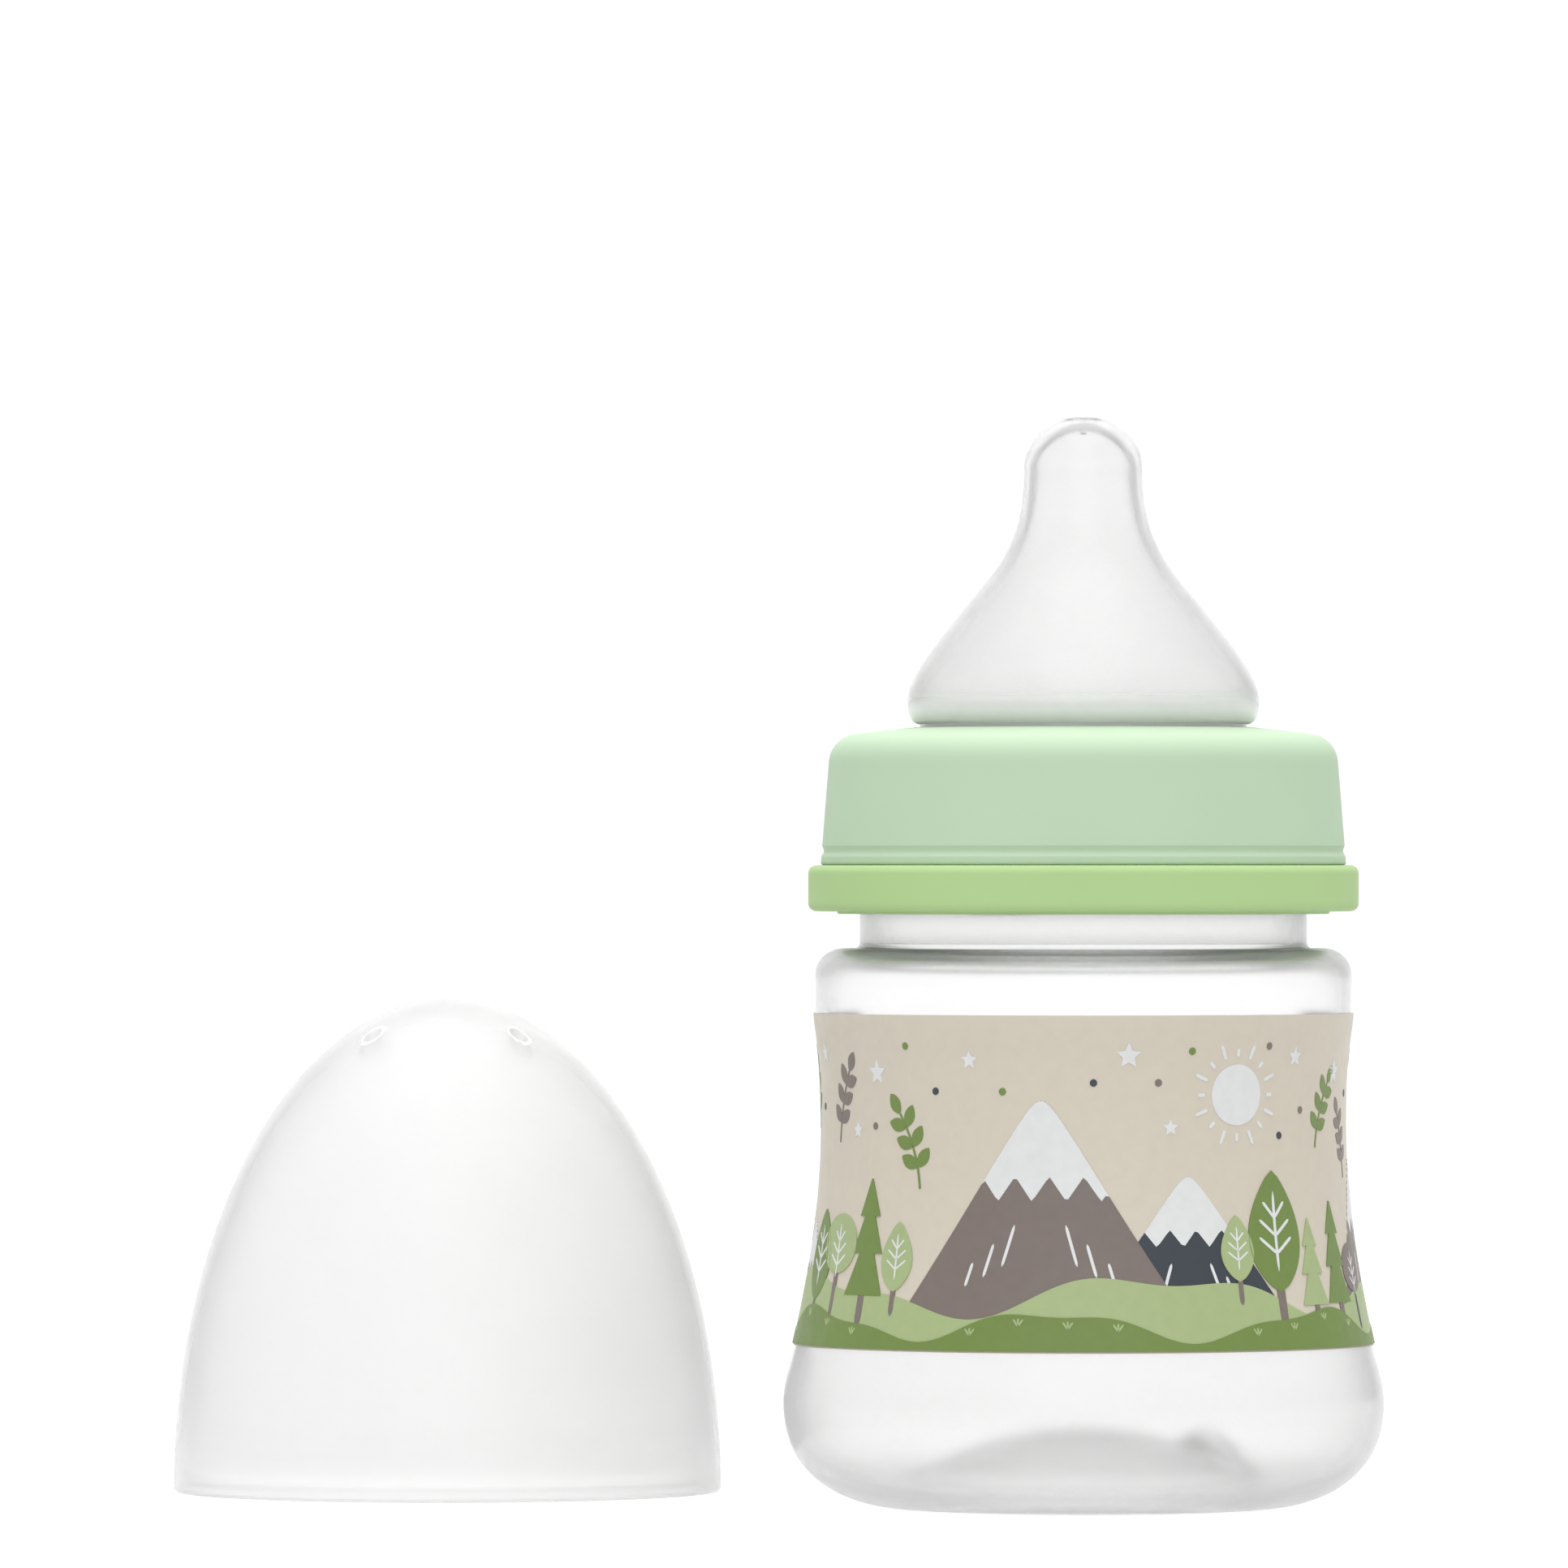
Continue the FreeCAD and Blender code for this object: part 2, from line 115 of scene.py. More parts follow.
def rounded(corners: Sequence[Corner], looped: bool = False, count: int = 9) -> Array:
    """A polyline whose rounded corners are tangent arcs.

    The arc starts and ends where a circle of the corner's radius touches both sides, and its points
    turn evenly from one side to the other.

    Args:
        corners: (radius, height, rounding) of each corner.
        looped: whether the last corner runs back to the first.
        count: points on each arc.

    Returns:
        The points, n x 2.
    """
    spots = np.array([c[:2] for c in corners], float)
    stretches = []
    for index, (_, _, rounding) in enumerate(corners):
        corner = spots[index]
        ends_here = not looped and index in (0, len(corners) - 1)
        if rounding <= 0 or ends_here:
            stretches.append(corner[None])
            continue
        back = spots[index - 1] - corner
        ahead = spots[(index + 1) % len(corners)] - corner
        back, ahead = back / np.linalg.norm(back), ahead / np.linalg.norm(ahead)
        half = math.acos(np.clip(back @ ahead, -1, 1)) / 2
        centre = corner + (back + ahead) / np.linalg.norm(back + ahead) * rounding / math.sin(half)
        first = corner + back * rounding / math.tan(half) - centre
        turn = np.sign(back[1] * ahead[0] - back[0] * ahead[1]) * (math.pi - 2 * half)
        a = math.atan2(first[1], first[0]) + np.linspace(0, turn, count)
        stretches.append(centre + rounding * np.stack([np.cos(a), np.sin(a)], 1))
    return np.vstack(stretches)


def run(*stretches: Array) -> Array:
    """Joins stretches of a profile end to end and drops repeated points.

    Args:
        stretches: the stretches in order, each n x 2.

    Returns:
        The profile, n x 2.
    """
    points = np.vstack(stretches)
    moved = np.linalg.norm(np.diff(points, axis=0), axis=1) > SAME_POINT
    return points[np.r_[True, moved]]


def held(profile: Array, looped: bool, reach: float = 0.12) -> Array:
    """Adds a point just inside each end of a long stretch, so that flats shade flat.

    Args:
        profile: (radius, height) points.
        looped: whether the last point runs back to the first.
        reach: how far from the ends the added points lie.

    Returns:
        The profile with the added points.
    """
    ahead = np.roll(profile, -1, axis=0)
    step = ahead - profile
    length = np.linalg.norm(step, axis=1, keepdims=True)
    nudge = step / np.maximum(length, 1e-9) * reach
    spots = np.stack([profile, profile + nudge, ahead - nudge], 1)
    wanted = np.repeat(length > 16 * reach, 3, axis=1)
    wanted[:, 0] = True
    if not looped:
        wanted[-1, 1:] = False
    return spots[wanted]


def level(value: float) -> Callable[[Array], Array]:
    """A line of one height, or an edge of one reach: the value at every place asked for."""
    return lambda places: np.full_like(places, value)


def smooth(t: Array) -> Array:
    """Eases from 0 to 1: three t squared less two t cubed, with t held between 0 and 1."""
    t = np.clip(t, 0, 1)
    return t * t * (3 - 2 * t)


def linear(colour: Colour) -> tuple[float, float, float, float]:
    """Turns a screen colour into the linear colour that a shader takes, by the usual screen curve.

    Args:
        colour: red, green and blue, from 0 to 255.

    Returns:
        Linear red, green and blue, and an opaque alpha.
    """
    share = np.asarray(colour, float) / 255
    value = np.where(share <= 0.04045, share / 12.92, ((share + 0.055) / 1.055) ** 2.4)
    return (*map(float, value), 1.0)


@dataclass
class Surface:
    """A surface of four-cornered faces, in millimetres."""

    points: Array
    faces: Array

    @staticmethod
    def quads(index: Array) -> Array:
        """Faces between neighbouring rows and columns of a grid of point numbers."""
        return np.stack([index[:-1, :-1], index[:-1, 1:], index[1:, 1:], index[1:, :-1]], -1).reshape(-1, 4)

    @classmethod
    def turned(cls, radii: Array, angles: Array, heights: Array, looped: bool) -> "Surface":
        """A surface turned about Z: radius times cosine and sine of the angle, and the height.

        Args:
            radii: radius at each row and column.
            angles: angle at each row and column, in radians.
            heights: height at each row and column.
            looped: whether the last row joins the first.

        Returns:
            The surface, closed round the axis.
        """
        points = np.stack([radii * np.cos(angles), radii * np.sin(angles), heights], -1)
        index = np.arange(radii.size).reshape(radii.shape)
        index = np.vstack([index, index[:1]]) if looped else index
        return cls(points.reshape(-1, 3), cls.quads(np.hstack([index, index[:, :1]])))

    @classmethod
    def pin(cls, radius: float, bottom: float, top: float, segments: int) -> "Surface":
        """An upright closed cylinder about Z: a square profile carried once round.

        Args:
            radius: the cylinder's radius.
            bottom: height of its lower end.
            top: height of its upper end.
            segments: columns round the axis.

        Returns:
            The closed cylinder.
        """
        profile = np.array([(0, bottom), (radius, bottom), (radius, top), (0, top)])
        return cls.turned(*turned_grid(profile, segments), looped=False)

    @classmethod
    def slab(cls, top: Array, bottom: Array, wrapped: bool = False) -> "Surface":
        """A thin closed plate between two grids: both sheets, and walls round their edges.

        Args:
            top: points of the upper sheet, rows x columns x 3.
            bottom: points of the lower sheet, of the same shape.
            wrapped: whether the last column joins the first.

        Returns:
            The closed plate.
        """
        over = np.arange(top.shape[0] * top.shape[1]).reshape(top.shape[:2])
        over = np.hstack([over, over[:, :1]]) if wrapped else over
        under = over + top.shape[0] * top.shape[1]
        faces = [cls.quads(over), cls.quads(under)[:, ::-1]]
        faces += [cls.quads(np.stack([under[0], over[0]])), cls.quads(np.stack([over[-1], under[-1]]))]
        if not wrapped:
            faces.append(cls.quads(np.stack([over[:, 0], under[:, 0]], 1)))
            faces.append(cls.quads(np.stack([under[:, -1], over[:, -1]], 1)))
        return cls(np.vstack([top.reshape(-1, 3), bottom.reshape(-1, 3)]), np.vstack(faces))

    @classmethod
    def joined(cls, surfaces: Sequence["Surface"]) -> "Surface":
        """One surface of several, with the point numbers moved on.

        Args:
            surfaces: the surfaces to join.

        Returns:
            The joined surface.
        """
        starts = np.cumsum([0] + [len(s.points) for s in surfaces[:-1]])
        faces = [s.faces + start for s, start in zip(surfaces, starts)]
        return cls(np.vstack([s.points for s in surfaces]), np.vstack(faces))

    def moved(self, x: float, y: float) -> "Surface":
        """The surface shifted along X and Y."""
        return Surface(self.points + np.array([x, y, 0.0]), self.faces)

    def mesh(self, name: str) -> bpy.types.Mesh:
        """Puts the surface into a mesh, in metres, with equal points merged at seams and poles.

        A face that loses one corner at a pole becomes a triangle, and one that loses more is dropped.

        Args:
            name: the mesh's name.

        Returns:
            The mesh.
        """
        points, number = np.unique(np.round(self.points, 5), axis=0, return_inverse=True)
        faces = number.reshape(-1)[self.faces]
        same = faces == np.roll(faces, -1, axis=1)
        lost = same.sum(1)
        pinched = faces[lost == 1]
        kept = (same[lost == 1].argmax(1)[:, None] + np.array([1, 2, 3])) % 4
        corners = faces[lost == 0].tolist() + np.take_along_axis(pinched, kept, 1).tolist()
        mesh = bpy.data.meshes.new(name)
        mesh.from_pydata((points * MM).tolist(), [], corners)
        mesh.validate()
        return mesh


def turned_grid(profile: Array, segments: int) -> tuple[Array, Array, Array]:
    """Radius, angle and height grids of a profile carried once round the Z axis.

    Args:
        profile: (radius, height) points.
        segments: columns round the axis.

    Returns:
        Radii, angles and heights, each rows x segments.
    """
    angles = np.linspace(0, 2 * math.pi, segments, endpoint=False)
    shape = (len(profile), segments)
    radii = np.broadcast_to(profile[:, :1], shape).copy()
    heights = np.broadcast_to(profile[:, 1:], shape).copy()
    return radii, np.broadcast_to(angles, shape).copy(), heights


def shown(name: str, mesh: bpy.types.Mesh, material: bpy.types.Material) -> bpy.types.Object:
    """Puts a mesh in the scene as a smooth piece with one material.

    Args:
        name: the piece's name.
        mesh: its mesh, in place.
        material: its finish.

    Returns:
        The new object.
    """
    mesh.shade_smooth()
    mesh.set_sharp_from_angle(angle=SHARP_EDGE)
    mesh.materials.append(material)
    piece = bpy.data.objects.new(name, mesh)
    bpy.context.scene.collection.objects.link(piece)
    return piece


def drilled(mesh: bpy.types.Mesh, drill: bpy.types.Mesh) -> bpy.types.Mesh:
    """Cuts holes in a closed mesh.

    Args:
        mesh: the mesh to drill.
        drill: closed bodies that fill the holes.

    Returns:
        The drilled mesh.
    """
    blank = bpy.data.objects.new("blank", mesh)
    tool = bpy.data.objects.new("tool", drill)
    for part in (blank, tool):
        bpy.context.scene.collection.objects.link(part)
    cut = blank.modifiers.new("holes", "BOOLEAN")
    cut.operation, cut.solver, cut.object = "DIFFERENCE", "EXACT", tool
    graph = bpy.context.evaluated_depsgraph_get()
    result = bpy.data.meshes.new_from_object(blank.evaluated_get(graph))
    for part in (blank, tool):
        bpy.data.objects.remove(part)
    return result


class FinishNodes:
    """The nodes of one finish: a Principled shader and what varies it over the surface."""

    def __init__(self, name: str) -> None:
        """Starts a material with a bare Principled shader.

        Args:
            name: the material's name.
        """
        self.material = bpy.data.materials.new(name)
        self.material.use_nodes = True
        self.tree = self.material.node_tree
        self.shader = self.tree.nodes["Principled BSDF"]

    def put(self, **sockets: float | tuple) -> None:
        """Sets values on the shader's own sockets; underscores in the names stand for spaces."""
        for name, value in sockets.items():
            self.shader.inputs[name.replace("_", " ")].default_value = value

    def link(self, source: Socket, socket: str) -> None:
        """Feeds one of the shader's sockets."""
        self.tree.links.new(source, self.shader.inputs[socket])

    def noise(self, scale: float, detail: float = 2.0) -> Socket:
        """Cloudy noise on Object coordinates.

        Args:
            scale: features to the metre.
            detail: octaves of finer noise.

        Returns:
            The noise's socket.
        """
        place = self.tree.nodes.new("ShaderNodeTexCoord")
        noise = self.tree.nodes.new("ShaderNodeTexNoise")
        noise.inputs["Scale"].default_value = scale
        noise.inputs["Detail"].default_value = detail
        self.tree.links.new(place.outputs["Object"], noise.inputs["Vector"])
        return noise.outputs["Fac"]

    def spread(self, source: Socket, low: float, high: float) -> Socket:
        """Maps noise, which keeps within NOISE_RANGE, to a range of values.

        Args:
            source: the noise.
            low: value where the noise is lowest.
            high: value where the noise is highest.

        Returns:
            The value's socket.
        """
        node = self.tree.nodes.new("ShaderNodeMapRange")
        for name, value in zip(("From Min", "From Max", "To Min", "To Max"), (*NOISE_RANGE, low, high)):
            node.inputs[name].default_value = value
        self.tree.links.new(source, node.inputs["Value"])
        return node.outputs["Result"]

    def blend(self, source: Socket, first: tuple, second: tuple) -> Socket:
        """Mixes two linear colours by noise.

        Args:
            source: the noise.
            first: colour where the noise is lowest.
            second: colour where the noise is highest.

        Returns:
            The colour's socket.
        """
        node = self.tree.nodes.new("ShaderNodeMix")
        node.data_type = "RGBA"
        node.inputs[6].default_value = first
        node.inputs[7].default_value = second
        self.tree.links.new(self.spread(source, 0, 1), node.inputs[0])
        return node.outputs[2]

    def by_height(self, stops: Sequence[tuple[float, float]]) -> Socket:
        """A value that eases from one height to the next.

        Args:
            stops: pairs of a height in millimetres and the value there, upwards.

        Returns:
            The value's socket.
        """
        parts = self.tree.nodes.new("ShaderNodeSeparateXYZ")
        self.tree.links.new(self.tree.nodes.new("ShaderNodeTexCoord").outputs["Object"], parts.inputs[0])
        share = self.tree.nodes.new("ShaderNodeMapRange")
        share.inputs["From Min"].default_value = stops[0][0] * MM
        share.inputs["From Max"].default_value = stops[-1][0] * MM
        self.tree.links.new(parts.outputs["Z"], share.inputs["Value"])
        ramp = self.tree.nodes.new("ShaderNodeValToRGB")
        ramp.color_ramp.interpolation = "EASE"
        span = stops[-1][0] - stops[0][0]
        elements = ramp.color_ramp.elements
        for height, _ in stops[1:-1]:
            elements.new((height - stops[0][0]) / span)
        for element, (_, value) in zip(elements, stops):
            element.color = (value, value, value, 1.0)
        self.tree.links.new(share.outputs["Result"], ramp.inputs["Fac"])
        return ramp.outputs["Color"]

    def weighted(self, source: Socket, attribute: str) -> Socket:
        """The source times one of the mesh's own attributes.

        Args:
            source: the value to scale.
            attribute: the attribute's name.

        Returns:
            The product's socket.
        """
        weight = self.tree.nodes.new("ShaderNodeAttribute")
        weight.attribute_name = attribute
        product = self.tree.nodes.new("ShaderNodeMath")
        product.operation = "MULTIPLY"
        self.tree.links.new(source, product.inputs[0])
        self.tree.links.new(weight.outputs["Fac"], product.inputs[1])
        return product.outputs[0]

    def relief(self, source: Socket, depth: float, strength: float) -> None:
        """Feeds the shader's normal with a bump.

        Args:
            source: the bump's height, from 0 to 1.
            depth: the bump's full depth, in metres.
            strength: share of the bump that shows.
        """
        node = self.tree.nodes.new("ShaderNodeBump")
        node.inputs["Distance"].default_value = depth
        node.inputs["Strength"].default_value = strength
        self.tree.links.new(source, node.inputs["Height"])
        self.link(node.outputs["Normal"], "Normal")


@dataclass(frozen=True)
class SeeThroughFinish:
    """Plastic or silicone that light passes through."""

    name: str
    tint: Colour
    shade: Colour
    ior: float
    clear: tuple[tuple[float, float], ...]
    haze: tuple[tuple[float, float], ...]
    clear_share: str = ""

    def material(self) -> bpy.types.Material:
        """The finish as nodes: a faint cloud of tint, and a clearness and a haze that differ with height.

        Returns:
            The material. Where clear_share names an attribute of the mesh, it scales the clearness.
        """
        nodes = FinishNodes(self.name)
        nodes.put(IOR=self.ior)
        clear = nodes.by_height(self.clear)
        if self.clear_share:
            clear = nodes.weighted(clear, self.clear_share)
        nodes.link(clear, "Transmission Weight")
        nodes.link(nodes.blend(nodes.noise(90), linear(self.tint), linear(self.shade)), "Base Color")
        nodes.link(nodes.by_height(self.haze), "Roughness")
        return nodes.material


@dataclass(frozen=True)
class MouldedFinish:
    """Coloured plastic that light enters a little way."""

    name: str
    colour: Colour
    shade: Colour
    roughness: tuple[float, float]
    transmission: float

    def material(self) -> bpy.types.Material:
        """The finish as nodes: two near shades, uneven gloss, and the fine skin of the mould.

        Returns:
            The material.
        """
        nodes = FinishNodes(self.name)
        nodes.put(IOR=1.49, Specular_IOR_Level=0.12, Transmission_Weight=self.transmission)
        nodes.link(nodes.blend(nodes.noise(60), linear(self.colour), linear(self.shade)), "Base Color")
        nodes.link(nodes.spread(nodes.noise(300, 4), *self.roughness), "Roughness")
        nodes.relief(nodes.noise(420, 2), 0.00003, 0.06)
        return nodes.material


@dataclass(frozen=True)
class PrintFinish:
    """Ink or film of one colour."""

    name: str
    colour: Colour
    shade: Colour

    def material(self) -> bpy.types.Material:
        """The finish as nodes: ink that lies a little unevenly on a satin film.

        Returns:
            The material.
        """
        nodes = FinishNodes(self.name)
        nodes.put(IOR=1.5, Coat_Weight=0.15, Coat_Roughness=0.25)
        nodes.link(nodes.blend(nodes.noise(700, 5), linear(self.colour), linear(self.shade)), "Base Color")
        nodes.link(nodes.spread(nodes.noise(420, 4), 0.42, 0.55), "Roughness")
        nodes.relief(nodes.noise(500, 2), 0.00002, 0.06)
        return nodes.material


CLEAR_PLASTIC = SeeThroughFinish(
    "clear_plastic", (254, 254, 254), (253, 253, 253), 1.35,
    ((0, 0.96), (5, 0.94), (9, 0.87), (17, 0.87), (21, 0.94), (66, 0.95), (85, 0.89)),
    ((0, 0.22), (13, 0.2), (20, 0.12), (58, 0.12), (63, 0.26), (66, 0.2), (85, 0.15)),
)
SILICONE = SeeThroughFinish(
    "silicone", (254, 254, 254), (253, 253, 253), 1.41,
    ((82, 0.4), (89.8, 0.4), (92.5, 0.84), (124, 0.86)),
    ((82, 0.2), (90.4, 0.2), (94, 0.15), (108, 0.15), (115, 0.06), (124, 0.05)),
)
MILKY_PLASTIC = SeeThroughFinish(
    "milky_plastic", (254, 254, 254), (253, 253, 253), 1.33,
    ((0, 0.54), (8, 0.66), (38, 0.7), (58, 0.735)),
    ((0, 0.26), (10, 0.22), (46, 0.21), (58, 0.16)),
    "clear_share",
)
MINT_PLASTIC = MouldedFinish("mint_plastic", (187, 210, 181), (184, 207, 178), (0.5, 0.58), 0.12)
LIME_PLASTIC = MouldedFinish("lime_plastic", (172, 201, 142), (169, 198, 139), (0.5, 0.58), 0.06)
BEIGE_FILM = PrintFinish("beige_film", (197, 189, 174), (194, 186, 171))
WHITE_COAT = PrintFinish("white_coat", (252, 251, 249), (249, 248, 246))


class Ink(Enum):
    """The inks of the band's print and of the level marks, as screen colours."""

    WHITE = (210, 212, 212)
    DARK_GREEN = (105, 128, 61)
    LIGHT_GREEN = (155, 171, 122)
    TAUPE = (116, 105, 99)
    SLATE = (50, 58, 65)

    def finish(self) -> PrintFinish:
        """The ink's finish, with a second shade that is a little darker."""
        return PrintFinish(f"ink_{self.name.lower()}", self.value, tuple(0.975 * c for c in self.value))

    def piece_name(self) -> str:
        """The name of the piece that holds everything printed in this ink."""
        return f"band_{self.name.lower()}"


@dataclass(frozen=True)
class Thread:
    """A screw thread of one start: a ridge that climbs evenly as it goes round."""

    first_angle: float
    first_z: float
    turns: float
    lead: float = 6.0
    height: float = 1.0
    half: float = 1.5
    fade: float = 0.12

    def rise(self, angles: Array, heights: Array) -> Array:
        """How far the ridge stands out from its wall.

        The ridge's middle is at first_z plus lead times the turns made since first_angle. Across it
        the rise is half a cosine wave, and it fades in and out over the thread's ends.

        Args:
            angles: angle round the axis at each point, in radians.
            heights: height of each point.

        Returns:
            The rise at each point, in millimetres.
        """
        share = np.mod((angles - math.radians(self.first_angle)) / (2 * math.pi), 1)
        climbed = (heights - self.first_z) / self.lead - share
        along = share + np.round(climbed)
        off = np.abs(climbed - np.round(climbed)) * self.lead
        flank = 0.5 + 0.5 * np.cos(math.pi * np.minimum(off / self.half, 1))
        ends = smooth(along / self.fade) * smooth((self.turns - along) / self.fade)
        return self.height * flank * ends


@dataclass
class BottleBody:
    """The clear bottle: push-up base, bulged foot, waist, shoulder and threaded neck.

    A pull is how far a Bezier's tangent reaches, as a share of the stretch that it shapes.
    """

    foot_r: float = 21.0
    foot_width: float = 2.2
    push_up: float = 7.0
    bulge: tuple[float, float] = (34.0, 11.8)
    hip: tuple[float, float] = (32.95, 17.2)
    hip_slope: float = 0.24
    waist: tuple[float, float] = (29.53, 43.7)
    shoulder_r: float = 30.4
    chest_z: float = 56.2
    shelf_z: float = 63.2
    shoulder_round: float = 3.2
    wall: float = 1.3
    base_wall: float = 1.7
    neck_r: float = 25.3
    neck_root_round: float = 0.6
    mouth_r: float = 23.4
    mouth_z: float = 84.2
    lip_round: float = 0.45
    foot_pull: float = 0.27
    bulge_pulls: tuple[float, float] = (0.85, 0.35)
    hip_pulls: tuple[float, float] = (0.30, 0.34)
    waist_pulls: tuple[float, float] = (0.34, 0.7)
    chest_pull: float = 0.2
    pocket_reach: float = 15.2
    pocket_hollow: tuple[float, float, float] = (0.4, 3.2, 3.6)
    pocket_boss: tuple[float, float, float] = (0.8, 5.4, 3.3)
    segments: int = 196
    thread: Thread = Thread(first_angle=-126, first_z=68.3, turns=2.2)

    def side(self, inset: float = 0.0) -> Array:
        """The side from the widest place to the shoulder, in three Beziers that meet smoothly.

        Args:
            inset: how far the outline is moved towards the axis.

        Returns:
            (radius, height) points, upwards.
        """
        (bulge_r, bulge_z), (hip_r, hip_z), (waist_r, waist_z) = self.bulge, self.hip, self.waist
        low, high, chest = hip_z - bulge_z, waist_z - hip_z, self.chest_z - waist_z
        below, above = self.hip_pulls[0] * low, self.hip_pulls[1] * high
        hip = bezier([
            (bulge_r, bulge_z),
            (bulge_r, bulge_z + self.bulge_pulls[1] * low),
            (hip_r + self.hip_slope * below, hip_z - below),
            (hip_r, hip_z),
        ], 14)
        waist = bezier([
            (hip_r, hip_z),
            (hip_r - self.hip_slope * above, hip_z + above),
            (waist_r, waist_z - self.waist_pulls[0] * high),
            (waist_r, waist_z),
        ], 32)
        chest_run = bezier([
            (waist_r, waist_z),
            (waist_r, waist_z + self.waist_pulls[1] * chest),
            (self.shoulder_r, self.chest_z - self.chest_pull * chest),
            (self.shoulder_r, self.chest_z),
        ], 20)
        wall_top = (self.shoulder_r, self.shelf_z - self.shoulder_round)
        return run(hip, waist, chest_run, np.array([wall_top])) - (inset, 0)

    def radius_at(self, heights: Array) -> Array:
        """The outside radius of the side at each height."""
        side = self.side()
        return np.interp(heights, side[:, 1], side[:, 0])

    def base_round(self, start: tuple[float, float], end: tuple[float, float]) -> Array:
        """The round corner between the base and the widest place, as one Bezier.

        Args:
            start: (radius, height) at the base.
            end: (radius, height) at the widest place.

        Returns:
            (radius, height) points in order.
        """
        (r0, z0), (r1, z1) = start, end
        out, down = self.foot_pull * (r1 - r0), self.bulge_pulls[0] * (z1 - z0)
        return bezier([start, (r0 + out, z0), (r1, z1 - down), end], 40)

    def outside(self) -> Array:
        """The outline from the middle of the hollow under the base up to the neck's lip.

        Returns:
            (radius, height) points in order.
        """
        foot_in = self.foot_r - self.foot_width
        dome_r = (foot_in**2 + self.push_up**2) / (2 * self.push_up)
        edge = math.degrees(math.asin(foot_in / dome_r))
        hollow = arc((0, self.push_up - dome_r), dome_r, 90, 90 - edge, 50)
        hollow[0, 0] = 0.0
        corner = (self.shoulder_r - self.shoulder_round, self.shelf_z - self.shoulder_round)
        root = rounded([
            (corner[0], self.shelf_z, 0),
            (self.neck_r, self.shelf_z, self.neck_root_round),
            (self.neck_r, self.mouth_z, 0),
        ])
        threaded = line((self.neck_r, self.shelf_z + 0.7), (self.neck_r, self.mouth_z - 0.6), 106)
        lip = rounded([
            (self.neck_r, self.mouth_z - 0.5, 0),
            (self.neck_r, self.mouth_z, self.lip_round),
            (self.mouth_r, self.mouth_z, self.lip_round),
            (self.mouth_r, self.mouth_z - 0.6, 0),
        ])
        return run(
            hollow,
            np.array([(self.foot_r, 0.0)]),
            self.base_round((self.foot_r, 0), self.bulge),
            self.side(),
            arc(corner, self.shoulder_round, 0, 90, 12),
            root[:-1],
            threaded,
            lip,
        )

    def inside(self) -> Array:
        """The outline of the hollow from the neck down to the middle of the floor.

        Returns:
            (radius, height) points in order.
        """
        under = self.shelf_z - self.wall
        corner = (self.shoulder_r - self.shoulder_round, self.shelf_z - self.shoulder_round)
        throat = rounded([
            (self.mouth_r, self.mouth_z - 1, 0),
            (self.mouth_r, under, self.wall / 2),
            (corner[0], under, 0),
        ])
        shoulder = arc(corner, self.shoulder_round - self.wall, 90, 0, 12)
        valley = (self.foot_r, self.base_wall)
        widest = (self.bulge[0] - self.wall, self.bulge[1])
        side, base = self.side(self.wall)[::-1], self.base_round(valley, widest)[::-1]
        return run(throat, shoulder, side, base, self.floor())

    def floor(self) -> Array:
        """The floor: a valley arc that runs tangent into the dome over the push-up.

        Returns:
            (radius, height) points in order.
        """
        foot_in = self.foot_r - self.foot_width
        under_r = (foot_in**2 + self.push_up**2) / (2 * self.push_up)
        dome_r = under_r + self.base_wall
        middle = np.array([0, self.push_up - under_r])
        drop = self.base_wall - middle[1]
        valley_r = (self.foot_r**2 + drop**2 - dome_r**2) / (2 * (dome_r - drop))
        centre = np.array([self.foot_r, self.base_wall + valley_r])
        bearing = math.degrees(math.atan2(*(centre - middle)[::-1]))
        valley = arc(centre, valley_r, -90, bearing - 180, 18)
        dome = arc(middle, dome_r, bearing, 90, 48)
        dome[-1, 0] = 0.0
        return run(valley, dome)

    def pocket(self, radii: Array, angles: Array, shape: tuple[float, float, float]) -> Array:
        """The rise of the turning pocket: full within a near distance, eased to nothing at a far one.

        Args:
            radii: radius at each point.
            angles: angle at each point, in radians.
            shape: near and far distance from the pocket's middle, and the full rise.

        Returns:
            The rise at each point.
        """
        near, far, height = shape
        away = np.hypot(radii * np.cos(angles) - self.pocket_reach, radii * np.sin(angles))
        return height * smooth((far - away) / (far - near))

    def build(self) -> bpy.types.Object:
        """Turns the two outlines into one shell, and adds the thread and the pocket to it.

        Returns:
            The piece.
        """
        outside, inside = self.outside(), self.inside()
        profile = held(run(outside, inside), looped=False)
        radii, angles, heights = turned_grid(profile, self.segments)
        lip_row = int(np.argmax(profile[:, 1]))
        rows = np.arange(len(profile))[:, None]
        on_neck = (rows < lip_row) & (heights > self.shelf_z + 0.3)
        radii += np.where(on_neck, self.thread.rise(angles, heights), 0)
        hollow = (rows < lip_row) & (radii < self.foot_r - self.foot_width) & (heights < self.bulge[1])
        dome = (rows > lip_row) & (radii < self.foot_r) & (heights < self.bulge[1])
        heights += np.where(hollow, self.pocket(radii, angles, self.pocket_hollow), 0)
        heights += np.where(dome, self.pocket(radii, angles, self.pocket_boss), 0)
        surface = Surface.turned(radii, angles, heights, looped=False)
        return shown("clear_bottle", surface.mesh("clear_bottle"), CLEAR_PLASTIC.material())

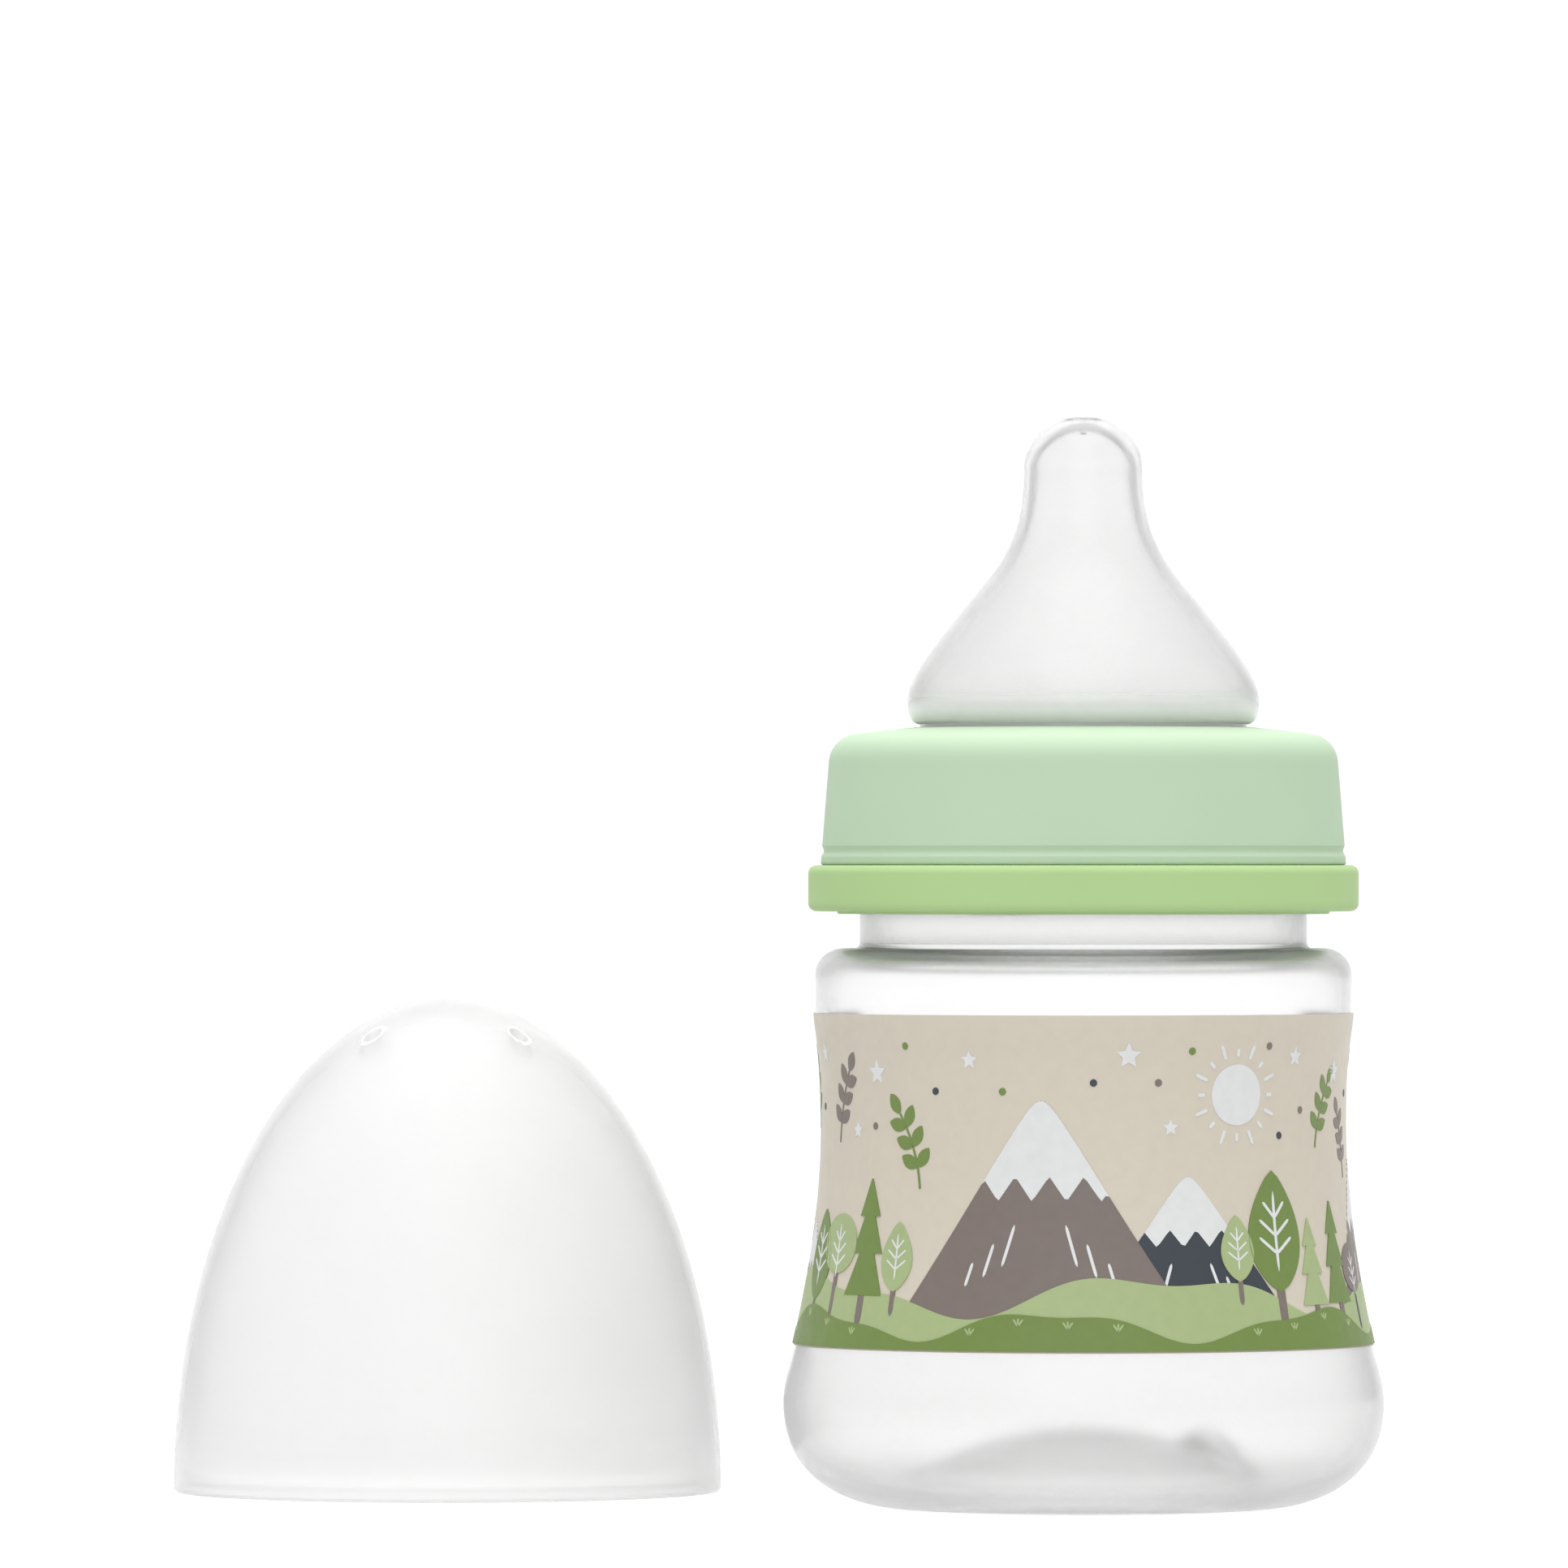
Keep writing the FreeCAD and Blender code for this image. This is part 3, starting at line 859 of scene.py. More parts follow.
    def capacity_height(self, millilitres: Array) -> Array:
        """The height that each amount of milk reaches: the hollow's volume summed up from its floor.

        A thin layer at one height holds pi times the wall's radius squared, less the floor's own
        radius squared where the dome still stands in it.

        Args:
            millilitres: amounts.

        Returns:
            Heights above the foot.
        """
        outline = self.inside()
        lowest = int(np.argmin(outline[:, 1]))
        heights = np.linspace(self.base_wall, self.shelf_z, 600)
        wall = np.interp(heights, outline[lowest::-1, 1], outline[lowest::-1, 0])
        dome = np.interp(heights, outline[lowest:, 1], outline[lowest:, 0], right=0)
        layers = math.pi * (wall**2 - dome**2) * (heights[1] - heights[0]) / CUBIC_MM_PER_ML
        return np.interp(millilitres, np.cumsum(layers), heights)


class TreeKind(Enum):
    """The trees in the print."""

    PINE = "pine"
    LEAF = "leaf"
    ROUND = "round"


@dataclass(frozen=True)
class Tree:
    """A tree of the print: its place along the band, its foot, its height, its kind and its ink."""

    place: float
    foot: float
    height: float
    kind: TreeKind
    ink: Ink


@dataclass(frozen=True)
class Mountain:
    """A mountain of the print: place of its peak, half its width, its height and its ink."""

    place: float
    half: float
    height: float
    ink: Ink
    tip: float = 0.07

    def slope(self, along: Array) -> Array:
        """The outline: height less a slope that is rounded off at the tip, as a hyperbola is."""
        away = np.hypot((along - self.place) / self.half, self.tip) - self.tip
        return np.maximum(self.height * (1 - away), 0)


@dataclass
class PrintedBand:
    """The printed film round the body: mountains, hills, trees and small motifs on a beige ground."""

    body: BottleBody
    bottom: float = 18.4
    height: float = 37.5
    gap: float = 0.05
    film: float = 0.15
    coat: float = 0.04
    window: float = 120.0
    reference_r: float = 30.5
    ink_step: float = 0.018
    margin: float = 0.2
    patches: dict[Ink, list[Surface]] = field(default_factory=dict)

    mountains: tuple[Mountain, ...] = (
        Mountain(11.5, 14.0, 19.5, Ink.SLATE),
        Mountain(-5.5, 17.5, 28.0, Ink.TAUPE),
        Mountain(53.5, 8.5, 15.5, Ink.SLATE),
        Mountain(45.0, 11.0, 21.0, Ink.TAUPE),
        Mountain(-52.0, 10.0, 20.0, Ink.SLATE),
        Mountain(-44.0, 8.5, 14.0, Ink.TAUPE),
    )
    trees: tuple[Tree, ...] = (
        Tree(-34.0, 4.5, 11.0, TreeKind.ROUND, Ink.LIGHT_GREEN),
        Tree(-28.2, 3.6, 15.5, TreeKind.PINE, Ink.DARK_GREEN),
        Tree(-23.2, 4.9, 9.5, TreeKind.LEAF, Ink.LIGHT_GREEN),
        Tree(17.4, 6.2, 9.0, TreeKind.LEAF, Ink.LIGHT_GREEN),
        Tree(23.0, 3.6, 16.5, TreeKind.LEAF, Ink.DARK_GREEN),
        Tree(28.8, 3.2, 11.5, TreeKind.PINE, Ink.LIGHT_GREEN),
        Tree(34.2, 3.0, 13.5, TreeKind.PINE, Ink.DARK_GREEN),
        Tree(39.2, 3.0, 9.0, TreeKind.ROUND, Ink.TAUPE),
        Tree(59.5, 3.0, 11.0, TreeKind.LEAF, Ink.DARK_GREEN),
        Tree(-39.0, 3.0, 12.5, TreeKind.LEAF, Ink.DARK_GREEN),
        Tree(-60.0, 3.0, 11.0, TreeKind.PINE, Ink.DARK_GREEN),
    )

    def laid(self, along: Array, up: Array, lift: float | Array) -> Array:
        """Lays a flat pattern on the body: distance along the band becomes an angle from the front.

        Args:
            along: distance to the right of the front, on the reference radius.
            up: height above the band's lower edge.
            lift: distance outside the film's face.

        Returns:
            Points, with X, Y and Z last.
        """
        z = up + self.bottom
        angle = along / self.reference_r
        radius = self.body.radius_at(z) + self.gap + self.film + lift
        return np.stack([radius * np.sin(angle), -radius * np.cos(angle), z], -1)

    def patch(self, ink: Ink, layer: int, along: Array, up: Array, wrapped: bool = False) -> None:
        """Adds a patch of ink whose face stands one small step higher for each layer.

        Args:
            ink: the ink.
            layer: order of printing, from 1.
            along: grid of distances along the band.
            up: grid of heights.
            wrapped: whether the last column joins the first.
        """
        top = self.laid(along, up, self.ink_step * layer)
        bottom = self.laid(along, up, -self.film / 3)
        self.patches.setdefault(ink, []).append(Surface.slab(top, bottom, wrapped))

    def between(
        self, ink: Ink, layer: int, ends: tuple[float, float], low: Callable, high: Callable
    ) -> None:
        """Adds the patch between two lines: rows share out the height from the low line to the high.

        Args:
            ink: the ink.
            layer: order of printing.
            ends: where the patch starts and stops along the band.
            low: height of the lower line at each distance.
            high: height of the upper line at each distance.
        """
        along = np.linspace(*ends, max(8, int((ends[1] - ends[0]) / 0.4)))
        share = np.linspace(0, 1, 14)[:, None]
        lower, upper = low(along), high(along)
        up = lower + share * np.maximum(upper - lower, 0)
        self.patch(ink, layer, np.broadcast_to(along, up.shape), up)

    def blob(
        self, ink: Ink, layer: int, middle: tuple[float, float], reach: Callable, count: int = 48
    ) -> None:
        """Adds a patch round a middle: rows grow from nothing to the reach at each angle.

        Args:
            ink: the ink.
            layer: order of printing.
            middle: (along, up) of the middle.
            reach: distance to the edge at each angle, in radians.
            count: columns round the middle.
        """
        angle = np.linspace(2 * math.pi, 0, count, endpoint=False)
        grown = np.linspace(0, 1, 7)[:, None] * reach(angle)
        self.patch(ink, layer, middle[0] + grown * np.cos(angle), middle[1] + grown * np.sin(angle), True)

    def ribbon(self, ink: Ink, layer: int, path: Array, half: Array | float) -> None:
        """Adds a stroke: columns run from half a width left of the path to half a width right.

        Args:
            ink: the ink.
            layer: order of printing.
            path: (along, up) points.
            half: half the stroke's width at each point.
        """
        run_on = np.gradient(path, axis=0)
        length = np.maximum(np.linalg.norm(run_on, axis=1, keepdims=True), 1e-9)
        right = (run_on / length)[:, ::-1] * (1, -1)
        across = np.linspace(-1, 1, 7)
        offset = np.broadcast_to(half, len(path))[:, None] * across
        along = path[:, :1] + right[:, :1] * offset
        self.patch(ink, layer, along, path[:, 1:] + right[:, 1:] * offset)

    def stroke(self, ink: Ink, layer: int, start: tuple, end: tuple, half: float) -> None:
        """Adds a straight stroke whose width falls off at its ends as a high power does.

        Args:
            ink: the ink.
            layer: order of printing.
            start: (along, up) of one end.
            end: (along, up) of the other end.
            half: half the stroke's width.
        """
        t = np.linspace(0, 1, 13)
        ends = np.sqrt(np.clip(1 - np.abs(2 * t - 1) ** 8, 0.02, 1))
        self.ribbon(ink, layer, line(start, end, 13), half * ends)

    def leaf(self, ink: Ink, layer: int, foot: tuple, angle: float, length: float, half: float) -> None:
        """Adds a pointed leaf: its half width is a sine of the share of its length.

        Args:
            ink: the ink.
            layer: order of printing.
            foot: (along, up) of its foot.
            angle: its heading from the level, in radians.
            length: its length.
            half: half its greatest width.
        """
        t = np.linspace(0, 1, 15)
        end = (foot[0] + length * math.cos(angle), foot[1] + length * math.sin(angle))
        self.ribbon(ink, layer, line(foot, end, 15), half * np.sin(math.pi * t) ** 0.8 + 0.01)

    def mountain(self, hill: Mountain) -> None:
        """Prints a mountain with its snow and a few ridge strokes; the taupe ones stand in front.

        Args:
            hill: the mountain.
        """
        ends = (hill.place - hill.half, hill.place + hill.half)
        layer = 3 if hill.ink is Ink.TAUPE else 1
        self.between(hill.ink, layer, ends, level(self.margin), hill.slope)
        reach = 0.36 * hill.half

        def snow_line(along: Array) -> Array:
            """The snow's lower edge: a zigzag that stays under the mountain's outline."""
            wave = np.abs(np.mod((along - hill.place) / reach * 1.6 + 0.25, 1) - 0.5) * 2
            return np.minimum(hill.height * (0.70 - 0.10 * wave), hill.slope(along))

        wide = 1.3 * reach
        self.between(Ink.WHITE, layer + 1, (hill.place - wide, hill.place + wide), snow_line, hill.slope)
        for share, length in ((0.22, 0.30), (0.40, 0.24), (0.58, 0.17)):
            for side in (-1, 1):
                start = (hill.place + side * share * hill.half * 0.75, hill.height * (0.60 - 0.42 * share))
                end = (start[0] + side * 0.25 * length * hill.half, start[1] - length * hill.height * 0.55)
                self.stroke(Ink.WHITE, layer + 1, start, end, 0.17)

    def hills(self) -> None:
        """Prints the far and near hills: level lines with two waves added, along the whole film."""
        reach = math.radians(180 - self.window / 2) * self.reference_r - 0.3

        def far(along: Array) -> Array:
            """The far hills' outline."""
            return 6.4 + 2.0 * np.sin(along / 7.4 + 0.6) + 0.9 * np.sin(along / 3.3 + 2.1)

        def near(along: Array) -> Array:
            """The near hills' outline."""
            return 3.0 + 1.5 * np.sin(along / 5.2 + 2.4) + 0.5 * np.sin(along / 2.3)

        self.between(Ink.LIGHT_GREEN, 5, (-reach, reach), level(self.margin), far)
        self.between(Ink.DARK_GREEN, 9, (-reach, reach), level(self.margin), near)
        spots = np.arange(-reach + 3, reach - 3, 5.3)
        for along in spots[near(spots) > 2.6]:
            up = float(near(along)) - 1.3
            for turn in (-0.5, 0.0, 0.5):
                end = (along + 1.1 * math.sin(turn), up + 0.9 * math.cos(turn))
                self.stroke(Ink.LIGHT_GREEN, 10, (along, up), end, 0.1)

    def tree(self, tree: Tree) -> None:
        """Prints a tree: trunk, crown, and pale veins on the crown.

        Args:
            tree: the tree.
        """
        x, foot, tall = tree.place, tree.foot, tree.height
        trunk_ink = Ink.SLATE if tree.ink is Ink.TAUPE else Ink.TAUPE
        self.stroke(trunk_ink, 6, (x, foot - 1), (x, foot + 0.4 * tall), 0.035 * tall)
        if tree.kind is TreeKind.PINE:
            t = np.array([0, 0.36, 0.36, 0.68, 0.68, 1.0])
            w = np.array([1, 0.40, 0.80, 0.28, 0.55, 0.03]) * 0.21 * tall
            path = np.stack([np.full(6, x), foot + tall * (0.16 + 0.84 * t)], 1)
            for first in (0, 2, 4):
                rows = np.linspace(0, 1, 6)[:, None]
                piece = path[first] + rows * (path[first + 1] - path[first])
                self.ribbon(tree.ink, 7, piece, w[first] + rows[:, 0] * (w[first + 1] - w[first]))
            return
        if tree.kind is TreeKind.ROUND:
            middle = (x, foot + 0.66 * tall)
            self.blob(tree.ink, 7, middle, lambda a: 0.32 * tall * (1 + 0.05 * np.cos(2 * a)))
        else:
            t = np.linspace(0, 1, 22)
            path = np.stack([np.full(22, x), foot + tall * (0.18 + 0.82 * t)], 1)
            half = 0.25 * tall * np.sin(math.pi * t) ** 0.7 * (1.15 - 0.4 * t) + 0.01
            self.ribbon(tree.ink, 7, path, half)
        self.stroke(Ink.WHITE, 8, (x, foot + 0.32 * tall), (x, foot + 0.86 * tall), 0.012 * tall)
        for level, reach in ((0.44, 0.15), (0.56, 0.14), (0.68, 0.10)):
            for side in (-1, 1):
                start = (x, foot + level * tall)
                end = (x + side * reach * tall, foot + (level + 0.11) * tall)
                self.stroke(Ink.WHITE, 8, start, end, 0.011 * tall)

    def sprig(self, foot: tuple[float, float], lean: float, length: float, ink: Ink) -> None:
        """Prints a sprig: a bent stem with pairs of leaves and one at its end.

        Args:
            foot: (along, up) of the stem's foot.
            lean: how far the stem leans to the right, in radians.
            length: the stem's length.
            ink: the ink.
        """
        t = np.linspace(0, 1, 16)
        bend = lean + 0.5 * (t - 0.5) * np.sign(lean or 1)
        step = length / 15
        path = np.stack([np.cumsum(np.sin(bend)), np.cumsum(np.cos(bend))], 1) * step + foot
        self.ribbon(ink, 3, path, 0.14)
        for index in (4, 8, 12):
            heading = math.pi / 2 - bend[index]
            for side in (-1, 1):
                self.leaf(ink, 3, tuple(path[index]), heading + 0.85 * side, 0.30 * length, 0.085 * length)
        self.leaf(ink, 3, tuple(path[-1]), math.pi / 2 - bend[-1], 0.30 * length, 0.085 * length)

    def star(self, ink: Ink, middle: tuple[float, float], reach: float) -> None:
        """Prints a five-pointed star: its edge goes straight from point to notch and back.

        Args:
            ink: the ink.
            middle: (along, up) of its middle.
            reach: distance from the middle to a point.
        """
        notch, turn = 0.46, math.pi / 5

        def edge(angle: Array) -> Array:
            """Distance to the straight edge at each angle."""
            share = np.abs(np.mod((angle - math.pi / 2) / (2 * math.pi) * 5 + 0.5, 1) - 0.5) * 2
            bottom = math.sin(turn) * notch
            return reach * bottom / (
                np.sin(share * turn) * (1 - notch * math.cos(turn)) + np.cos(share * turn) * bottom
            )

        self.blob(ink, 3, middle, edge, 60)

    def sun(self, middle: tuple[float, float], reach: float) -> None:
        """Prints a sun: a disc, and rays of two lengths round it.

        Args:
            middle: (along, up) of its middle.
            reach: the disc's radius.
        """
        self.blob(Ink.WHITE, 3, middle, level(reach), 64)
        for index, angle in enumerate(np.linspace(0, 2 * math.pi, 16, endpoint=False)):
            heading = np.array([math.cos(angle), math.sin(angle)])
            far = 1.75 if index % 2 else 1.52
            start, end = middle + 1.25 * reach * heading, middle + far * reach * heading
            self.stroke(Ink.WHITE, 3, tuple(start), tuple(end), 0.2)

    def small_motifs(self) -> None:
        """Prints the sun, sprigs, stars and dots in the upper part of the band."""
        self.sun((18.0, 28.6), 3.4)
        for foot, lean, length, ink in (
            ((-20.5, 17.5), -0.35, 9.0, Ink.DARK_GREEN),
            ((31.5, 22.0), 0.40, 8.0, Ink.DARK_GREEN),
            ((-36.0, 22.5), 0.30, 8.5, Ink.TAUPE),
            ((-46.0, 24.0), -0.30, 8.0, Ink.DARK_GREEN),
            ((40.5, 18.5), -0.25, 7.5, Ink.TAUPE),
            ((55.5, 21.5), 0.35, 8.0, Ink.DARK_GREEN),
            ((-59.0, 20.5), 0.25, 8.0, Ink.TAUPE),
        ):
            self.sprig(foot, lean, length, ink)
        for along, up, reach in (
            (-27.5, 31.0, 1.5), (-14.0, 32.5, 1.1), (4.5, 33.0, 1.5), (9.5, 25.0, 1.0), (27.0, 32.8, 1.2),
            (36.5, 31.0, 1.6), (-40.5, 33.0, 1.2), (47.0, 32.5, 1.1), (-54.0, 32.5, 1.5), (60.0, 30.0, 1.2),
            (51.5, 26.5, 1.0), (-31.5, 24.5, 1.0),
        ):
            self.star(Ink.WHITE, (along, up), reach)
        for along, up, ink in (
            (-18.5, 29.0, Ink.SLATE), (-10.0, 29.0, Ink.DARK_GREEN), (0.5, 30.0, Ink.SLATE),
            (8.0, 30.0, Ink.TAUPE), (12.0, 33.5, Ink.DARK_GREEN), (24.5, 24.0, Ink.SLATE),
            (28.4, 26.8, Ink.TAUPE), (22.5, 34.0, Ink.TAUPE), (-22.6, 34.0, Ink.DARK_GREEN),
            (-28.0, 25.0, Ink.TAUPE), (-42.0, 27.0, Ink.SLATE), (42.0, 28.5, Ink.SLATE),
            (-50.0, 28.0, Ink.TAUPE), (54.5, 34.0, Ink.SLATE), (-60.5, 33.0, Ink.SLATE),
        ):
            self.blob(ink, 3, (along, up), level(0.42), 20)

    def sheet(self, outer: float, inner: float) -> Surface:
        """A slab round the body, open at the clear window.

        Args:
            outer: distance of its outer sheet outside the film's face.
            inner: distance of its inner sheet outside the film's face.

        Returns:
            The closed slab.
        """
        half = math.radians(180 - self.window / 2) * self.reference_r
        along, up = np.meshgrid(np.linspace(-half, half, 301), np.linspace(0, self.height, 60))
        return Surface.slab(self.laid(along, up, outer), self.laid(along, up, inner))

    def build_film(self) -> tuple[bpy.types.Object, bpy.types.Object]:
        """The film, which follows the body's side, and the white coat on its inner face.

        Returns:
            Film and coat.
        """
        seam = self.coat - self.film
        film = shown("band_film", self.sheet(0.0, seam).mesh("band_film"), BEIGE_FILM.material())
        coat = shown("band_coat", self.sheet(seam, -self.film).mesh("band_coat"), WHITE_COAT.material())
        return film, coat

    def build_print(self) -> list[bpy.types.Object]:
        """The print: every motif, gathered into one piece for each ink.

        Returns:
            The pieces.
        """
        for hill in self.mountains:
            self.mountain(hill)
        self.hills()
        for tree in self.trees:
            self.tree(tree)
        self.small_motifs()
        return [
            shown(ink.piece_name(), Surface.joined(made).mesh(ink.piece_name()), ink.finish().material())
            for ink, made in self.patches.items()
        ]


@dataclass
class LevelMarks:
    """The measuring marks in the clear window at the back, each at the level that its amount reaches."""

    band: PrintedBand
    amounts: tuple[int, ...] = (60, 80, 100, 120)
    digit_height: float = 3.4
    digit_start: float = 3.2
    long_half: float = 5.0
    short_half: float = 2.6
    stroke_half: float = 0.22
    stroke_start: float = 8.0

    def digits(self, text: str, along: float, up: float) -> tuple[Array, list[tuple[int, ...]]]:
        """The outline of plain digits as points and faces, laid on the body.

        Args:
            text: the digits.
            along: where they start.
            up: height of their foot.

        Returns:
            Points in millimetres, and faces.
        """
        curve = bpy.data.curves.new("digits", "FONT")
        curve.body, curve.size, curve.extrude = text, self.digit_height * 1.4, 0.02
        curve.resolution_u = 6
        piece = bpy.data.objects.new("digits", curve)
        bpy.context.scene.collection.objects.link(piece)
        graph = bpy.context.evaluated_depsgraph_get()
        mesh = bpy.data.meshes.new_from_object(piece.evaluated_get(graph))
        flat = np.zeros(len(mesh.vertices) * 3)
        mesh.vertices.foreach_get("co", flat)
        flat = flat.reshape(-1, 3)
        faces = [tuple(face.vertices) for face in mesh.polygons]
        bpy.data.objects.remove(piece)
        lift = flat[:, 2] + 0.03 - self.band.film
        return self.band.laid(along + flat[:, 0], up + flat[:, 1], lift), faces

    def build(self) -> bpy.types.Object:
        """Prints long strokes with numbers, and short strokes half way between them.

        Returns:
            The piece.
        """
        band = self.band
        back = math.pi * band.reference_r
        marks = PrintedBand(band.body, film=0.0)
        steps = np.arange(self.amounts[0], self.amounts[-1] + 1, 10)
        for amount, z in zip(steps, band.body.capacity_height(steps)):
            half = self.long_half if amount in self.amounts else self.short_half
            left, up = back - self.stroke_start, z - band.bottom
            marks.stroke(Ink.SLATE, 2, (left, up), (left + 2 * half, up), self.stroke_half)
        strokes = Surface.joined(marks.patches[Ink.SLATE]).mesh("level_marks")
        points = np.zeros(len(strokes.vertices) * 3)
        strokes.vertices.foreach_get("co", points)
        all_points = [points.reshape(-1, 3) / MM]
        all_faces = [tuple(face.vertices) for face in strokes.polygons]
        for amount, z in zip(self.amounts, band.body.capacity_height(np.array(self.amounts))):
            start = sum(len(p) for p in all_points)
            foot = z - band.bottom - 0.5 * self.digit_height
            made, faces = self.digits(str(amount), back + self.digit_start, foot)
            all_points.append(made)
            all_faces += [tuple(i + start for i in face) for face in faces]
        bpy.data.meshes.remove(strokes)
        mesh = bpy.data.meshes.new("level_marks")
        mesh.from_pydata((np.vstack(all_points) * MM).tolist(), [], all_faces)
        return shown("level_marks", mesh, Ink.SLATE.finish().material())


@dataclass
class Teat:
    """The silicone teat: flange and sealing skirt, groove, swell, flank, nipple and milk hole.

    A pull is how far a Bezier's tangent reaches, as a share of the stretch that it shapes.
    """

    neck_r: float = 25.3
    groove_r: float = 18.5
    hollow_r: float = 16.6
    seal: tuple[float, float] = (23.1, 21.6)
    seal_z: float = 82.2
    mouth_z: float = 84.2
    plate_z: float = 86.2
    groove_top_z: float = 88.55
    swell: tuple[float, float] = (19.9, 90.9)
    flank: tuple[float, float] = (13.9, 101.1)
    flank_slope: float = 0.79
    nipple_r: float = 6.7
    tip_foot_z: float = 117.4
    tip: tuple[float, float] = (1.5, 123.3)
    wall: float = 1.3
    milk_hole_r: float = 0.4
    vent_r: float = 0.5
    edge_round: float = 0.45
    swell_pull: float = 0.28
    flank_pulls: tuple[float, float] = (0.44, 0.28)
    nipple_pull: float = 0.55
    tip_pull: float = 0.56
    hollow_tip_pulls: tuple[float, float] = (0.58, 0.5)
    segments: int = 176

    def outside(self) -> Array:
        """The outline from the groove up to the milk hole, in Beziers that meet smoothly.

        Returns:
            (radius, height) points in order.
        """
        (swell_r, swell_z), (flank_r, flank_z), (tip_r, tip_z) = self.swell, self.flank, self.tip
        rise, climb, tip_rise = flank_z - swell_z, self.tip_foot_z - flank_z, tip_z - self.tip_foot_z
        below, above = self.flank_pulls[0] * rise, self.flank_pulls[1] * climb
        groove = bezier([
            (self.groove_r, self.groove_top_z),
            (self.groove_r + 0.7, self.groove_top_z),
            (swell_r, self.groove_top_z + self.swell_pull * (swell_z - self.groove_top_z)),
            (swell_r, swell_z),
        ], 18)
        flank = bezier([
            (swell_r, swell_z),
            (swell_r, swell_z + self.swell_pull * rise),
            (flank_r + self.flank_slope * below, flank_z - below),
            (flank_r, flank_z),
        ], 40)
        nipple = bezier([
            (flank_r, flank_z),
            (flank_r - self.flank_slope * above, flank_z + above),
            (self.nipple_r, self.tip_foot_z - self.nipple_pull * climb),
            (self.nipple_r, self.tip_foot_z),
        ], 48)
        tip = bezier([
            (self.nipple_r, self.tip_foot_z),
            (self.nipple_r, self.tip_foot_z + self.tip_pull * tip_rise),
            (tip_r + self.tip_pull * (self.nipple_r - tip_r), tip_z),
            (tip_r, tip_z),
        ], 32)
        return run(groove, flank, nipple, tip, np.array([(self.milk_hole_r, tip_z)]))

    def inside(self) -> Array:
        """The outline of the hollow from the milk hole down to the flange.

        Returns:
            (radius, height) points in order.
        """
        (swell_r, swell_z), (flank_r, flank_z) = self.swell, self.flank
        slant = math.hypot(1, self.flank_slope)
        inner = (flank_r - self.wall / slant, flank_z - self.wall * self.flank_slope / slant)
        swell_r -= self.wall
        rise, climb = inner[1] - swell_z, self.tip_foot_z - flank_z
        below, above = self.flank_pulls[0] * rise, self.flank_pulls[1] * climb
        nipple_r, top = self.nipple_r - self.wall, self.tip[1] - self.wall
        tip_rise = top - self.tip_foot_z
        step_z = (self.groove_top_z + swell_z) / 2
        tip = bezier([
            (self.milk_hole_r, top),
            (self.hollow_tip_pulls[0] * nipple_r, top),
            (nipple_r, self.tip_foot_z + self.hollow_tip_pulls[1] * tip_rise),
            (nipple_r, self.tip_foot_z),
        ], 32)
        nipple = bezier([
            (nipple_r, self.tip_foot_z),
            (nipple_r, self.tip_foot_z - self.nipple_pull * climb),
            (inner[0] - self.flank_slope * above, inner[1] + above),
            inner,
        ], 48)
        flank = bezier([
            inner,
            (inner[0] + self.flank_slope * below, inner[1] - below),
            (swell_r, swell_z + self.swell_pull * rise),
            (swell_r, swell_z),
        ], 40)
        step = bezier([
            (swell_r, swell_z),
            (swell_r, step_z),
            (self.hollow_r, step_z),
            (self.hollow_r, self.groove_top_z),
        ], 14)
        return run(tip, nipple, flank, step)

    def flange(self) -> Array:
        """The outline of the clamped flange and the sealing skirt, from the hollow round to the groove.

        Returns:
            (radius, height) points in order.
        """
        out, within = self.seal
        return rounded([
            (self.hollow_r, self.plate_z, 0),
            (self.hollow_r, self.mouth_z, self.edge_round),
            (within, self.mouth_z, 0.2),
            (within, self.seal_z, 0.5),
            (out, self.seal_z, 0.5),
            (out, self.mouth_z, 0.1),
            (self.neck_r, self.mouth_z, self.edge_round),
            (self.neck_r, self.plate_z, self.edge_round),
            (self.groove_r, self.plate_z, 0.15),
            (self.groove_r, self.groove_top_z, 0),
        ])

    def build(self) -> bpy.types.Object:
        """Turns the outline round the axis and drills the air vent through the flange.

        Returns:
            The piece.
        """
        profile = held(run(self.outside(), self.inside(), self.flange()[:-1]), looped=True)
        blank = Surface.turned(*turned_grid(profile, self.segments), looped=True).mesh("clear_teat")
        vent = Surface.pin(self.vent_r, self.mouth_z - 1, self.plate_z + 1, 20)
        vent = vent.moved(0, (self.groove_r + self.seal[1]) / 2)
        return shown("clear_teat", drilled(blank, vent.mesh("vent")), SILICONE.material())


